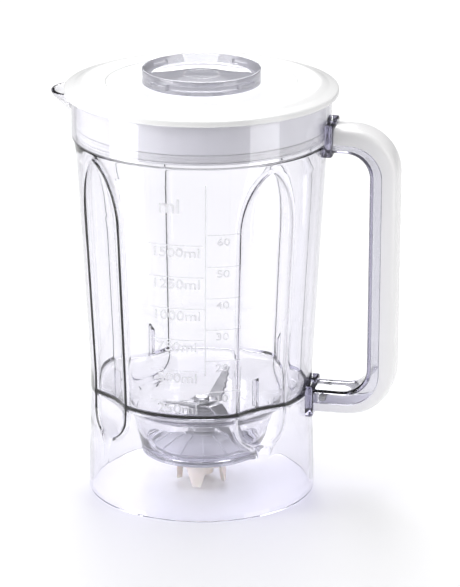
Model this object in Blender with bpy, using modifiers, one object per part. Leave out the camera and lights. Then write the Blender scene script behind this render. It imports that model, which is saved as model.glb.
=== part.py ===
"""Jug attachment of a countertop blender: clear jug, lid, filler cap, handle and blade unit.

Metres, +Z up. The jug's axis is vertical. The origin is the centre of the whole
object's footprint, on the surface it stands on, so the jug's axis is at x = AXIS_X:
the handle on +X reaches further out than the spout on -X. The front is -Y.
"""
import math

import bmesh
import bpy
from mathutils import Matrix, Vector

# Overall sizes
RIM_Z = 0.2400             # top of the jug
BAND_R = 0.0752            # outside of the band that holds the lid
WAIST_R = 0.0655           # narrowest outside radius, at the floor
FOOT_R = 0.0670            # outside of the skirt where it stands
WAIST_LOW_Z = 0.060
WALL = 0.0025

# Clearances
GAP = 0.0003               # between pieces that touch on the real object
SEAT_GAP = 0.0004          # lid seal to jug, cap spigot to lid, blade unit to seat
SKIRT_GAP = 0.0009         # lid skirt to jug
RUNNING_GAP = 0.0003       # round the shaft
OVERRUN = 0.010            # how far a cutter reaches past what it cuts

# Wall: where its slope changes
BAND_HEIGHT = 0.0248
BAND_Z = RIM_Z - BAND_HEIGHT
COLLAR_Z = BAND_Z - 0.0012
COLLAR_R = BAND_R - 0.0011
SHOULDER_Z = BAND_Z - 0.0122
SHOULDER_R = BAND_R - 0.0028
WAIST_HIGH_Z = WAIST_LOW_Z + 0.0150

# Floor and bowl under the jug
FLOOR_Z = WAIST_LOW_Z + 0.0055     # inside edge of the floor
FLOOR_T = 0.0030
FLOOR_CORNER = 0.0020              # bevel where the floor meets the wall
SEAT_R = 0.0330                    # inside of the recess that takes the blade unit
SEAT_LOW_Z = 0.0220
SEAT_DEPTH = 0.0032
LIP_LOW_Z = SEAT_LOW_Z + SEAT_DEPTH
LIP_TOP_Z = LIP_LOW_Z + 0.0022
LIP_R = SEAT_R - 0.0035
BOWL_LOW_R = SEAT_R + 0.0012       # inside radius just above the seat lip
BOWL_TOP_R = BOWL_LOW_R + 0.0043   # inside radius where the funnel meets the bowl
BOWL_TOP_Z = FLOOR_Z - 0.0170
BOWL_SHOULDER = 0.0040             # bevel where the funnel meets the bowl
BOWL_DROP = 0.0010
BOWL_WALL = 0.0022

# Flutes: four upright scoops pressed into the wall
FLUTE_AZIMUTHS = (45, 135, 225, 315)
FLUTE_HALF_ANGLE = math.radians(14.4)
FLUTE_CENTRE_R = WAIST_R + 0.0475  # distance of each scoop's own axis from the jug's axis
FLUTE_LOW_Z = WAIST_LOW_Z - 0.0180
FLUTE_STRAIGHT_LOW_Z = FLUTE_LOW_Z + 0.0150
FLUTE_TOP_Z = COLLAR_Z - 0.0040
FLUTE_STRAIGHT_HIGH_Z = FLUTE_TOP_Z - 0.0270
FLUTE_SKIN = WALL - 0.00015
FIN_DEPTH = 0.0050
FIN_T = 0.0020
FIN_TOP_Z = WAIST_HIGH_Z + 0.0050

# Spout: a cone whose foot ends just inside the band's outside
SPOUT_OVERHANG = 0.0135
SPOUT_REACH = BAND_R + SPOUT_OVERHANG      # tip, from the jug's axis
SPOUT_R = 0.0190                           # nose radius at the rim
SPOUT_LOW_R = SPOUT_R - SPOUT_OVERHANG - 0.0001
SPOUT_TOP_Z = RIM_Z - 0.0018
SPOUT_LOW_Z = RIM_Z - 0.0180
SPOUT_WALL = 0.0022
SPOUT_LEAST_R = 0.0010                     # foot of the pouring channel

# Lid
LID_R = BAND_R + 0.0041
LID_BEVEL_R = LID_R - 0.0085
LID_PLATEAU_R = LID_R - 0.0223
LID_WELL_R = LID_PLATEAU_R - 0.0022
LID_HOLE_R = 0.0324
LID_EDGE_TOP_Z = RIM_Z + 0.0036
LID_PLATEAU_Z = RIM_Z + 0.0070
LID_WELL_Z = LID_PLATEAU_Z - 0.0012
LID_NECK_LOW_Z = RIM_Z - 0.0008
LID_T = 0.0022
LID_EDGE_BEVEL = 0.0013
SKIRT_R = BAND_R - WALL - SKIRT_GAP
SKIRT_T = 0.0024
SKIRT_LOW_Z = BAND_Z + 0.0013
LID_SEAL_LOW_Z = SKIRT_LOW_Z + 0.0014
LID_SEAL_HIGH_Z = LID_SEAL_LOW_Z + 0.0042
LID_SEAL_R = BAND_R - WALL - SEAT_GAP
LID_SEAL_INNER_R = SKIRT_R - 0.0009
LID_SEAL_LIP = 0.0005

# Filler cap
CAP_SPIGOT_R = LID_HOLE_R - SEAT_GAP
CAP_SPIGOT_T = 0.0020
CAP_SPIGOT_LOW_Z = LID_NECK_LOW_Z - 0.0018
CAP_R = LID_HOLE_R + 0.0020
CAP_TOP_Z = LID_WELL_Z + 0.0087
CAP_RIM_WIDTH = 0.0052             # the rim slopes down to the dish over this width
CAP_DISH_R = CAP_R - CAP_RIM_WIDTH
CAP_DISH_DEPTH = 0.0040
CAP_DISH_FLOOR_Z = CAP_TOP_Z - CAP_DISH_DEPTH
CAP_FLOOR_T = 0.0020
CAP_EDGE = 0.0006                  # bevels round the rim
CAP_LUG_REACH = 0.0024
CAP_LUG_LENGTH = 0.0130
CAP_LUG_TAPER = 0.92
CAP_LUG_LOW_Z = LID_WELL_Z + 0.0022
CAP_LUG_HIGH_Z = CAP_LUG_LOW_Z + 0.0035
CAP_LUG_AZIMUTHS = (59, 149, 239, 329)

# Handle, drawn in the plane y = 0
HANDLE_REACH = 0.0410              # from the band to the outside of the grip
HANDLE_HALF_WIDTH = 0.0110
HANDLE_WALL = 0.0022
HANDLE_EDGE = 0.0045               # rounding of the cover's outer edges
COVER_CHEEK = HANDLE_WALL + 0.0006
GRIP_OUT_X = BAND_R + HANDLE_REACH
GRIP_SPLIT_X = GRIP_OUT_X - 0.0087
GRIP_IN_X = GRIP_OUT_X - 0.0159
ARM_TOP_OUT_Z = RIM_Z - 0.0150
ARM_TOP_SPLIT_Z = ARM_TOP_OUT_Z - 0.0097
ARM_TOP_IN_Z = ARM_TOP_OUT_Z - 0.0143
ARM_LOW_OUT_Z = WAIST_LOW_Z - 0.0075
ARM_LOW_SPLIT_Z = ARM_LOW_OUT_Z + 0.0060
ARM_LOW_IN_Z = ARM_LOW_OUT_Z + 0.0140
CORNER_OUT_R = 0.0275
CORNER_SPLIT_R = CORNER_OUT_R - 0.0080
CORNER_IN_R = CORNER_OUT_R - 0.0132
ROOT_FLANGE_T = 0.0034
ROOT_FLANGE_HALF_WIDTH = HANDLE_HALF_WIDTH + 0.0020
ROOT_FLANGE_MARGIN = 0.0025
ROOT_INSIDE = 0.0040               # how far the roots run into the wall before they are cut back to it
PIN_R = 0.0022
PIN_OUT = 0.0052                   # pin's axis, out from the lower root flange
PIN_RECESS = 0.0002                # pin's ends below the sides of the handle
TAB_WALL = 0.0016                  # round the pin
TAB_HALF_WIDTH = 0.0050

# Drive shaft and what it carries
SHAFT_R = 0.0040
SHAFT_NOSE_R = SHAFT_R - 0.0010
SHAFT_SEAL_R = SHAFT_R + 0.0054
SHAFT_SEAL_T = 0.0018
THRUST_WASHER_R = SHAFT_R + 0.0040
THRUST_WASHER_T = 0.0007
SPACER_R = SHAFT_R + 0.0037
SPACER_T = 0.0087
BLADE_T = 0.0014
BLADE_WIDTH = 0.0110
BLADE_TIP_WIDTH = 0.0038
BLADE_BEND_R = 0.0110              # the wings bend at this distance from the axis
NUT_R = SHAFT_NOSE_R + 0.0018
NUT_T = 0.0020
NUT_ROOF_T = 0.0009
NUT_EDGE = 0.0005
CLIP_GROOVE_R = SHAFT_R - 0.0008
CLIP_R = CLIP_GROOVE_R + 0.0031
CLIP_T = 0.0011

# The blades pass through the seat lip. Each wing: azimuth in degrees, bend upward in
# degrees, and how far its tip stays inside the circle that passes the lip
SWEEP_R = LIP_R - 0.0006
UPPER_WINGS = ((54, 58, 0.0070), (234, 20, 0.0))
LOWER_WINGS = ((-28, -45, 0.0016), (152, -27, 0.0010))

# Blade carrier: its flange sits in the jug's seat, its bell inside the lip
CARRIER_R = SEAT_R - SEAT_GAP
CARRIER_FLANGE_LOW_Z = SEAT_LOW_Z - 0.0001
CARRIER_FLANGE_HIGH_Z = CARRIER_FLANGE_LOW_Z + 0.0018
BELL_R = LIP_R - 0.0007
BELL_T = 0.0022
BELL_EDGE = 0.0010
BUSH_R = SHAFT_R + 0.0020
BUSH_LENGTH = 0.0064
HUB_TUBE_R = BUSH_R + GAP + 0.0023
HUB_R = HUB_TUBE_R + 0.0022
HUB_TOP_Z = CARRIER_FLANGE_LOW_Z + 0.0136
HUB_SHOULDER_Z = HUB_TOP_Z - 0.0017
HUB_LOW_Z = CARRIER_FLANGE_LOW_Z - 0.0024
HUB_THROAT_GAP = 0.0009            # round the shaft between the bushes

# Drive coupling
COUPLING_R = 0.0147
COUPLING_LOW_Z = 0.0015
COUPLING_TOP_Z = HUB_LOW_Z - 0.0025
COUPLING_WALL = 0.0030
COUPLING_PLATE_T = 0.0035
COUPLING_BOSS_WALL = 0.0030
COUPLING_BOSS_FLOOR_T = 0.0015
COUPLING_SLOT_AZIMUTHS = (45, 135, 225, 315)
COUPLING_SLOT_TOP_Z = COUPLING_TOP_Z - COUPLING_PLATE_T - 0.0013
COUPLING_SLOT_TOP_W = 0.0060
COUPLING_SLOT_LOW_W = 0.0150
SHAFT_LOW_Z = COUPLING_TOP_Z - 0.0087

# Sides of round pieces
JUG_STEPS = 56
SCOOP_STEPS = 80
CAP_STEPS = 48
SMALL_STEPS = 32
TINY_STEPS = 24
ARC_STEPS = 7

AXIS_X = (SPOUT_REACH - GRIP_OUT_X) / 2
MERGE = 0.00002
FLAT_ANGLE = math.radians(0.5)
SHARP_ANGLE = math.radians(35)

PARTS = None
CUTTERS = None


def start():
    """Empty the file and make one collection for the parts and one for the cutters."""
    global PARTS, CUTTERS
    for thing in list(bpy.data.objects):
        bpy.data.objects.remove(thing, do_unlink=True)
    PARTS = bpy.data.collections.new("blender_jug")
    CUTTERS = bpy.data.collections.new("cutters")
    bpy.context.scene.collection.children.link(PARTS)
    bpy.context.scene.collection.children.link(CUTTERS)


def make_material(name, colour, roughness, metallic=0.0, transmission=0.0):
    """A Principled material."""
    finish = bpy.data.materials.new(name)
    finish.use_nodes = True
    shader = finish.node_tree.nodes["Principled BSDF"]
    shader.inputs["Base Color"].default_value = (*colour, 1.0)
    shader.inputs["Roughness"].default_value = roughness
    shader.inputs["Metallic"].default_value = metallic
    shader.inputs["Transmission Weight"].default_value = transmission
    return finish


def add_object(name, mesh, finish=None):
    """Put a mesh in the parts collection, or with the cutters when it has no finish."""
    thing = bpy.data.objects.new(name, mesh)
    if finish is None:
        CUTTERS.objects.link(thing)
        thing.hide_render = True
        thing.display_type = "WIRE"
    else:
        PARTS.objects.link(thing)
        mesh.materials.append(finish)
    return thing


def shade(mesh):
    """Smooth shading with sharp edges where faces meet steeply."""
    mesh.shade_smooth()
    mesh.set_sharp_from_angle(angle=SHARP_ANGLE)


def turned(name, profile, finish=None, steps=JUG_STEPS, closed=False, place=(AXIS_X, 0, 0)):
    """Turn a profile of (radius, height) points, which runs down its outer side."""
    mesh = bpy.data.meshes.new(name)
    links = [(i, i + 1) for i in range(len(profile) - 1)]
    if closed:
        links.append((len(profile) - 1, 0))
    mesh.from_pydata([(r, 0, z) for r, z in profile], links, [])
    thing = add_object(name, mesh, finish)
    thing.location = place
    screw = thing.modifiers.new("turn", "SCREW")
    screw.steps = steps
    screw.render_steps = steps
    screw.use_merge_vertices = True
    screw.merge_threshold = MERGE
    screw.use_smooth_shade = True
    return thing


def boolean(thing, other, operation="DIFFERENCE"):
    """Cut, join or keep with another object."""
    step = thing.modifiers.new(operation.lower(), "BOOLEAN")
    step.operation = operation
    step.object = other
    step.solver = "EXACT"


def weld(thing):
    """Closes the hair-thin seams that a chain of cuts can leave."""
    seam = thing.modifiers.new("weld", "WELD")
    seam.merge_threshold = MERGE


def block(name, low, high, finish=None):
    """A box between two corners, with its place in its mesh."""
    mesh = bpy.data.meshes.new(name)
    shape = bmesh.new()
    bmesh.ops.create_cube(shape, size=1)
    size = Vector(high) - Vector(low)
    middle = (Vector(high) + Vector(low)) / 2
    bmesh.ops.scale(shape, vec=size, verts=shape.verts)
    bmesh.ops.translate(shape, vec=middle, verts=shape.verts)
    shape.to_mesh(mesh)
    shape.free()
    return add_object(name, mesh, finish)


def cylinder(name, radius, low, high, finish=None, steps=TINY_STEPS):
    """A cylinder between two points."""
    low = Vector(low)
    run = Vector(high) - low
    mesh = bpy.data.meshes.new(name)
    shape = bmesh.new()
    turn = run.to_track_quat("Z", "Y").to_matrix().to_4x4()
    bmesh.ops.create_cone(shape, cap_ends=True, segments=steps, radius1=radius, radius2=radius,
                          depth=run.length, matrix=Matrix.Translation(low + run / 2) @ turn)
    shape.to_mesh(mesh)
    shape.free()
    return add_object(name, mesh, finish)


def slab(name, outline, low, high, to_world, finish=None):
    """A flat outline given thickness from low to high along its own normal, then placed."""
    curve = bpy.data.curves.new(name, "CURVE")
    curve.dimensions = "2D"
    curve.fill_mode = "BOTH"
    curve.extrude = (high - low) / 2
    line = curve.splines.new("POLY")
    line.points.add(len(outline) - 1)
    for point, (x, y) in zip(line.points, outline):
        point.co = (x, y, 0, 1)
    line.use_cyclic_u = True
    guide = bpy.data.objects.new(name + "_outline", curve)
    CUTTERS.objects.link(guide)
    bpy.context.view_layer.update()
    mesh = bpy.data.meshes.new_from_object(guide.evaluated_get(bpy.context.evaluated_depsgraph_get()))
    bpy.data.objects.remove(guide, do_unlink=True)
    shape = bmesh.new()
    shape.from_mesh(mesh)
    bmesh.ops.remove_doubles(shape, verts=shape.verts, dist=MERGE)
    bmesh.ops.translate(shape, vec=(0, 0, (high + low) / 2), verts=shape.verts)
    bmesh.ops.transform(shape, matrix=to_world, verts=shape.verts)
    bmesh.ops.dissolve_limit(shape, angle_limit=FLAT_ANGLE, verts=shape.verts, edges=shape.edges)
    bmesh.ops.recalc_face_normals(shape, faces=shape.faces)
    shape.to_mesh(mesh)
    shape.free()
    mesh.name = name
    return add_object(name, mesh, finish)


def upright(x=AXIS_X):
    """Stands an outline drawn in x, z up in the plane y = 0, thickness along -Y."""
    return Matrix.Translation((x, 0, 0)) @ Matrix.Rotation(math.radians(90), 4, "X")


def arc(centre, radius, first, last, steps=ARC_STEPS):
    """Points on an arc, angles in degrees."""
    points = []
    for i in range(steps + 1):
        angle = math.radians(first + (last - first) * i / steps)
        points.append((centre[0] + radius * math.cos(angle), centre[1] + radius * math.sin(angle)))
    return points


def mix(a, b, share):
    """Straight-line mix of two values."""
    return a + (b - a) * share


def wall_radius(z):
    """Outside radius of the jug's wall at a height."""
    stations = ((0.0, FOOT_R), (WAIST_LOW_Z, WAIST_R), (WAIST_HIGH_Z, WAIST_R),
                (SHOULDER_Z, SHOULDER_R), (COLLAR_Z, COLLAR_R))
    for (z0, r0), (z1, r1) in zip(stations, stations[1:]):
        if z <= z1:
            return mix(r0, r1, (z - z0) / (z1 - z0))
    return COLLAR_R


def outer_profile(grow=0.0):
    """Outside of the jug without spout or flutes, from the top centre to the bottom centre."""
    side = [(BAND_R, RIM_Z), (BAND_R, BAND_Z)]
    for z in (COLLAR_Z, SHOULDER_Z, WAIST_HIGH_Z, WAIST_LOW_Z, 0.0):
        side.append((wall_radius(z), z))
    side = [(r + grow, z) for r, z in side]
    return [(0, RIM_Z)] + side + [(0, 0.0)]


def cavity_profile():
    """Space inside the jug: band, wall, funnel floor, bowl and the hole in the seat lip."""
    above = RIM_Z + OVERRUN
    below = LIP_LOW_Z - 0.001
    return [(0, above), (BAND_R - WALL, above), (BAND_R - WALL, BAND_Z), (COLLAR_R - WALL, COLLAR_Z),
            (SHOULDER_R - WALL, SHOULDER_Z), (WAIST_R - WALL, WAIST_HIGH_Z),
            (WAIST_R - WALL, FLOOR_Z + FLOOR_CORNER), (WAIST_R - WALL - FLOOR_CORNER, FLOOR_Z),
            (BOWL_TOP_R + BOWL_SHOULDER, BOWL_TOP_Z + BOWL_SHOULDER), (BOWL_TOP_R, BOWL_TOP_Z - BOWL_DROP),
            (BOWL_LOW_R, LIP_TOP_Z), (LIP_R, LIP_TOP_Z), (LIP_R, below), (0, below)]


def underside_profile():
    """Space under the floor, inside the skirt and outside the bowl, as a closed ring."""
    skirt_r = WAIST_R - WALL
    skirt_top_z = FLOOR_Z - FLOOR_T - FLOOR_CORNER
    bowl_r = BOWL_TOP_R + BOWL_WALL
    below = -OVERRUN
    return [(skirt_r, skirt_top_z), (skirt_r, WAIST_LOW_Z - 0.002), (FOOT_R - WALL, below),
            (SEAT_R + BOWL_WALL, below), (SEAT_R + BOWL_WALL, SEAT_LOW_Z),
            (BOWL_LOW_R + BOWL_WALL, LIP_TOP_Z), (bowl_r, BOWL_TOP_Z - BOWL_DROP),
            (bowl_r + BOWL_SHOULDER * 0.8, BOWL_TOP_Z + BOWL_SHOULDER * 0.45),
            (skirt_r - FLOOR_T, skirt_top_z)]


def seat_profile():
    """Recess under the seat lip and the open space below the bowl."""
    outside = SEAT_R + BOWL_WALL + 0.001
    return [(0, LIP_LOW_Z), (SEAT_R, LIP_LOW_Z), (SEAT_R, SEAT_LOW_Z), (outside, SEAT_LOW_Z),
            (outside, -OVERRUN), (0, -OVERRUN)]


def flute_half_angle(z):
    """Half-width of a flute at a height, as an angle at the jug's axis."""
    if z < FLUTE_STRAIGHT_LOW_Z:
        share = (FLUTE_STRAIGHT_LOW_Z - z) / (FLUTE_STRAIGHT_LOW_Z - FLUTE_LOW_Z)
        return FLUTE_HALF_ANGLE * math.sqrt(max(0.0, 1 - share ** 2))
    if z > FLUTE_STRAIGHT_HIGH_Z:
        share = (z - FLUTE_STRAIGHT_HIGH_Z) / (FLUTE_TOP_Z - FLUTE_STRAIGHT_HIGH_Z)
        return FLUTE_HALF_ANGLE * (1 - share ** 1.7)
    return FLUTE_HALF_ANGLE


def scoop_radius(z):
    """Radius of the scoop's round side, so that it meets the wall at the flute's half-angle."""
    wall = wall_radius(z)
    across = 2 * wall * FLUTE_CENTRE_R * math.cos(flute_half_angle(z))
    return math.sqrt(wall ** 2 + FLUTE_CENTRE_R ** 2 - across)


def flute_heights():
    """Heights at which a flute's shape changes, top to bottom."""
    arch = [mix(FLUTE_TOP_Z, FLUTE_STRAIGHT_HIGH_Z, i / 6) for i in range(7)]
    middle = [(FLUTE_STRAIGHT_HIGH_Z + WAIST_HIGH_Z) / 2, WAIST_HIGH_Z, WAIST_LOW_Z]
    foot = []
    for i in range(6):
        angle = math.radians(90 * i / 5)
        foot.append(FLUTE_STRAIGHT_LOW_Z - (FLUTE_STRAIGHT_LOW_Z - FLUTE_LOW_Z) * math.sin(angle))
    return arch + middle + foot


def flute(name, azimuth, grow=0.0):
    """One scoop, or with grow the same scoop with a skin round it."""
    side = [(scoop_radius(z) + grow, z) for z in flute_heights()]
    profile = [(0, FLUTE_TOP_Z)] + side + [(0, FLUTE_LOW_Z)]
    angle = math.radians(azimuth)
    place = (AXIS_X + FLUTE_CENTRE_R * math.cos(angle), FLUTE_CENTRE_R * math.sin(angle), 0)
    scoop = turned(name, profile, steps=SCOOP_STEPS, place=place)
    scoop.rotation_euler = (0, 0, angle + math.pi)
    return scoop


def spout_cone(name, shrink, top_z):
    """Round-nosed spout: a cone that widens upwards, with its top carried on to top_z."""
    centre_x = AXIS_X - (SPOUT_REACH - SPOUT_R)
    slope = (SPOUT_R - SPOUT_LOW_R) / (SPOUT_TOP_Z - SPOUT_LOW_Z)
    profile = [(0, top_z), (SPOUT_R - shrink + slope * (top_z - SPOUT_TOP_Z), top_z)]
    foot_r = SPOUT_LOW_R - shrink
    foot_z = SPOUT_LOW_Z
    if foot_r < SPOUT_LEAST_R:
        foot_z += (SPOUT_LEAST_R - foot_r) / slope
        foot_r = SPOUT_LEAST_R
    profile += [(foot_r, foot_z), (0, foot_z)]
    return turned(name, profile, steps=SMALL_STEPS, place=(centre_x, 0, 0))


def make_jug(clear):
    """Jug: skirt, floor, bowl, fluted wall, lid band and spout in one moulding."""
    jug = turned("jug", outer_profile(), clear)
    cavity = turned("jug_cavity", cavity_profile())
    underside = turned("jug_underside", underside_profile(), closed=True)
    for azimuth in FLUTE_AZIMUTHS:
        skin = flute(f"flute_skin_{azimuth}", azimuth, FLUTE_SKIN)
        boolean(cavity, skin)
        boolean(underside, skin)
    boolean(jug, spout_cone("spout_outside", 0.0, SPOUT_TOP_Z), "UNION")
    boolean(jug, cavity)
    boolean(jug, underside)
    boolean(jug, turned("jug_seat", seat_profile()))
    boolean(jug, spout_cone("spout_channel", SPOUT_WALL, RIM_Z + OVERRUN))
    for azimuth in FLUTE_AZIMUTHS:
        boolean(jug, flute(f"flute_{azimuth}", azimuth))
    for azimuth in FLUTE_AZIMUTHS:
        boolean(jug, fin(azimuth), "UNION")
    weld(jug)
    return jug


def fin(azimuth):
    """Upright fin on the inside of a flute, standing on the floor's edge."""
    root = FLUTE_CENTRE_R - scoop_radius(WAIST_HIGH_Z) - WALL * 0.4
    low_z = FLOOR_Z - FLOOR_T * 0.5
    shape = block(f"fin_{azimuth}", (root - FIN_DEPTH - WALL, -FIN_T / 2, low_z),
                  (root, FIN_T / 2, FIN_TOP_Z))
    for corner in shape.data.vertices:
        if corner.co.z > low_z + 0.001 and corner.co.x > root - 0.001:
            corner.co.z += FIN_DEPTH * 0.5
    shape.location = (AXIS_X, 0, 0)
    shape.rotation_euler = (0, 0, math.radians(azimuth))
    return shape


def make_lid(white):
    """Lid: flat-rimmed cover with a shallow well, a neck for the cap and a plug skirt."""
    neck_r = LID_HOLE_R + LID_T
    skirt_in = SKIRT_R - SKIRT_T
    groove_r = LID_SEAL_INNER_R - GAP
    flange_low = RIM_Z + GAP
    top = [(LID_HOLE_R, LID_WELL_Z), (LID_WELL_R, LID_WELL_Z), (LID_PLATEAU_R, LID_PLATEAU_Z),
           (LID_BEVEL_R, mix(LID_PLATEAU_Z, LID_EDGE_TOP_Z, 0.9)), (LID_R - LID_EDGE_BEVEL, LID_EDGE_TOP_Z),
           (LID_R, LID_EDGE_TOP_Z - LID_EDGE_BEVEL), (LID_R, flange_low)]
    skirt = [(SKIRT_R, flange_low), (SKIRT_R, LID_SEAL_HIGH_Z + GAP), (groove_r, LID_SEAL_HIGH_Z + GAP),
             (groove_r, LID_SEAL_LOW_Z - GAP), (SKIRT_R, LID_SEAL_LOW_Z - GAP), (SKIRT_R, SKIRT_LOW_Z),
             (skirt_in, SKIRT_LOW_Z)]
    under = [(skirt_in, LID_EDGE_TOP_Z - LID_T), (LID_PLATEAU_R, LID_PLATEAU_Z - LID_T),
             (LID_WELL_R, LID_WELL_Z - LID_T), (neck_r, LID_WELL_Z - LID_T), (neck_r, LID_NECK_LOW_Z),
             (LID_HOLE_R, LID_NECK_LOW_Z)]
    return turned("lid", top + skirt + under, white, closed=True)


def make_ring(name, inner_r, outer_r, low_z, high_z, finish, steps=SMALL_STEPS):
    """A plain ring of rectangular section."""
    profile = [(outer_r, high_z), (outer_r, low_z), (inner_r, low_z), (inner_r, high_z)]
    return turned(name, profile, finish, steps=steps, closed=True)


def make_lid_seal(seal):
    """Seal in the groove round the lid's skirt, with two lips."""
    waist = LID_SEAL_R - LID_SEAL_LIP
    middle = (LID_SEAL_LOW_Z + LID_SEAL_HIGH_Z) / 2
    profile = [(waist, LID_SEAL_HIGH_Z), (LID_SEAL_R, mix(LID_SEAL_HIGH_Z, middle, 0.5)), (waist, middle),
               (LID_SEAL_R, mix(LID_SEAL_LOW_Z, middle, 0.5)), (waist, LID_SEAL_LOW_Z),
               (LID_SEAL_INNER_R, LID_SEAL_LOW_Z), (LID_SEAL_INNER_R, LID_SEAL_HIGH_Z)]
    return turned("lid_seal", profile, seal, closed=True)


def make_cap(clear):
    """Filler cap: a clear dish with a sloping rim, a spigot into the lid and four lugs on its side."""
    foot_z = LID_WELL_Z + GAP
    floor_low = CAP_DISH_FLOOR_Z - CAP_FLOOR_T
    spigot_in = CAP_SPIGOT_R - CAP_SPIGOT_T
    profile = [(0, CAP_DISH_FLOOR_Z), (CAP_DISH_R - CAP_EDGE, CAP_DISH_FLOOR_Z),
               (CAP_DISH_R, CAP_DISH_FLOOR_Z + CAP_EDGE / 2), (CAP_R - 2 * CAP_EDGE, CAP_TOP_Z),
               (CAP_R - CAP_EDGE, CAP_TOP_Z),
               (CAP_R, CAP_TOP_Z - CAP_EDGE), (CAP_R, foot_z), (CAP_SPIGOT_R, foot_z),
               (CAP_SPIGOT_R, CAP_SPIGOT_LOW_Z), (spigot_in, CAP_SPIGOT_LOW_Z),
               (spigot_in, floor_low), (0, floor_low)]
    cap = turned("filler_cap", profile, clear, steps=CAP_STEPS)
    for azimuth in CAP_LUG_AZIMUTHS:
        lug = block(f"cap_lug_{azimuth}", (CAP_R - 0.001, -CAP_LUG_LENGTH / 2, CAP_LUG_LOW_Z),
                    (CAP_R + CAP_LUG_REACH, CAP_LUG_LENGTH / 2, CAP_LUG_HIGH_Z))
        for corner in lug.data.vertices:
            if corner.co.x > CAP_R + CAP_LUG_REACH / 2:
                corner.co.y *= CAP_LUG_TAPER
        lug.location = (AXIS_X, 0, 0)
        lug.rotation_euler = (0, 0, math.radians(azimuth))
        boolean(cap, lug, "UNION")
    return cap


def rail(grip_x, top_z, low_z, corner_r, top_x, low_x):
    """A line round the handle in x, z: in from the upper root, down the grip, back to the lower root."""
    upper = arc((grip_x - corner_r, top_z - corner_r), corner_r, 90, 0)
    lower = arc((grip_x - corner_r, low_z + corner_r), corner_r, 0, -90)
    return [(top_x, top_z)] + upper + lower + [(low_x, low_z)]


def handle_band(name, outer, inner, half_width, finish=None):
    """The flat loop between two rails, given the handle's width."""
    return slab(name, outer + inner[::-1], -half_width, half_width, upright(), finish)


def make_handle_frame(clear):
    """Clear inner half of the handle: a channel open outwards, with a flange at each root."""
    inside_x = WAIST_R - ROOT_INSIDE
    split = (GRIP_SPLIT_X - GAP / 2, ARM_TOP_SPLIT_Z - GAP / 2, ARM_LOW_SPLIT_Z + GAP / 2, CORNER_SPLIT_R)
    inner = (GRIP_IN_X, ARM_TOP_IN_Z, ARM_LOW_IN_Z, CORNER_IN_R)
    floor = (GRIP_IN_X + HANDLE_WALL, ARM_TOP_IN_Z + HANDLE_WALL, ARM_LOW_IN_Z - HANDLE_WALL,
             CORNER_IN_R + HANDLE_WALL)
    above = (GRIP_SPLIT_X + OVERRUN, ARM_TOP_SPLIT_Z + OVERRUN, ARM_LOW_SPLIT_Z - OVERRUN,
             CORNER_SPLIT_R + OVERRUN)
    frame = handle_band("handle_frame", rail(*split, inside_x, inside_x), rail(*inner, inside_x, inside_x),
                        HANDLE_HALF_WIDTH, clear)
    top_x = BAND_R + GAP + ROOT_FLANGE_T
    low_x = WAIST_R + GAP + ROOT_FLANGE_T
    channel = handle_band("handle_channel", rail(*above, top_x, low_x), rail(*floor, top_x, low_x),
                          HANDLE_HALF_WIDTH - HANDLE_WALL)
    flanges = ((top_x, ARM_TOP_IN_Z - ROOT_FLANGE_MARGIN, ARM_TOP_OUT_Z + ROOT_FLANGE_MARGIN),
               (low_x, ARM_LOW_OUT_Z - ROOT_FLANGE_MARGIN, ARM_LOW_IN_Z + ROOT_FLANGE_MARGIN))
    for number, (x, low_z, high_z) in enumerate(flanges):
        pad = block(f"root_flange_{number}", (AXIS_X + inside_x, -ROOT_FLANGE_HALF_WIDTH, low_z),
                    (AXIS_X + x, ROOT_FLANGE_HALF_WIDTH, high_z))
        boolean(frame, pad, "UNION")
    boolean(frame, channel)
    boolean(frame, turned("wall_clearance", outer_profile(GAP)))
    boolean(frame, cylinder("pin_hole", PIN_R + GAP, *pin_ends(OVERRUN)))
    return frame


def pin_ends(extra=0.0):
    """Ends of the cover pin, which crosses the handle at its lower root."""
    x = AXIS_X + WAIST_R + GAP + ROOT_FLANGE_T + PIN_OUT
    z = (ARM_LOW_IN_Z + ARM_LOW_SPLIT_Z) / 2 - 0.0006
    reach = HANDLE_HALF_WIDTH - PIN_RECESS + extra
    return (x, -reach, z), (x, reach, z)


def round_outer_edges(thing, outer):
    """Rounds the two long outer edges of the cover."""
    on_rail = {(round(x + AXIS_X, 6), round(z, 6)) for x, z in outer}
    shape = bmesh.new()
    shape.from_mesh(thing.data)
    edges = []
    for edge in shape.edges:
        ends = [(round(v.co.x, 6), round(v.co.z, 6)) in on_rail for v in edge.verts]
        same_side = abs(edge.verts[0].co.y - edge.verts[1].co.y) < MERGE
        if all(ends) and same_side:
            edges.append(edge)
    bmesh.ops.bevel(shape, geom=edges, offset=HANDLE_EDGE, segments=3, profile=0.5, affect="EDGES")
    bmesh.ops.recalc_face_normals(shape, faces=shape.faces)
    shape.to_mesh(thing.data)
    shape.free()


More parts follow.
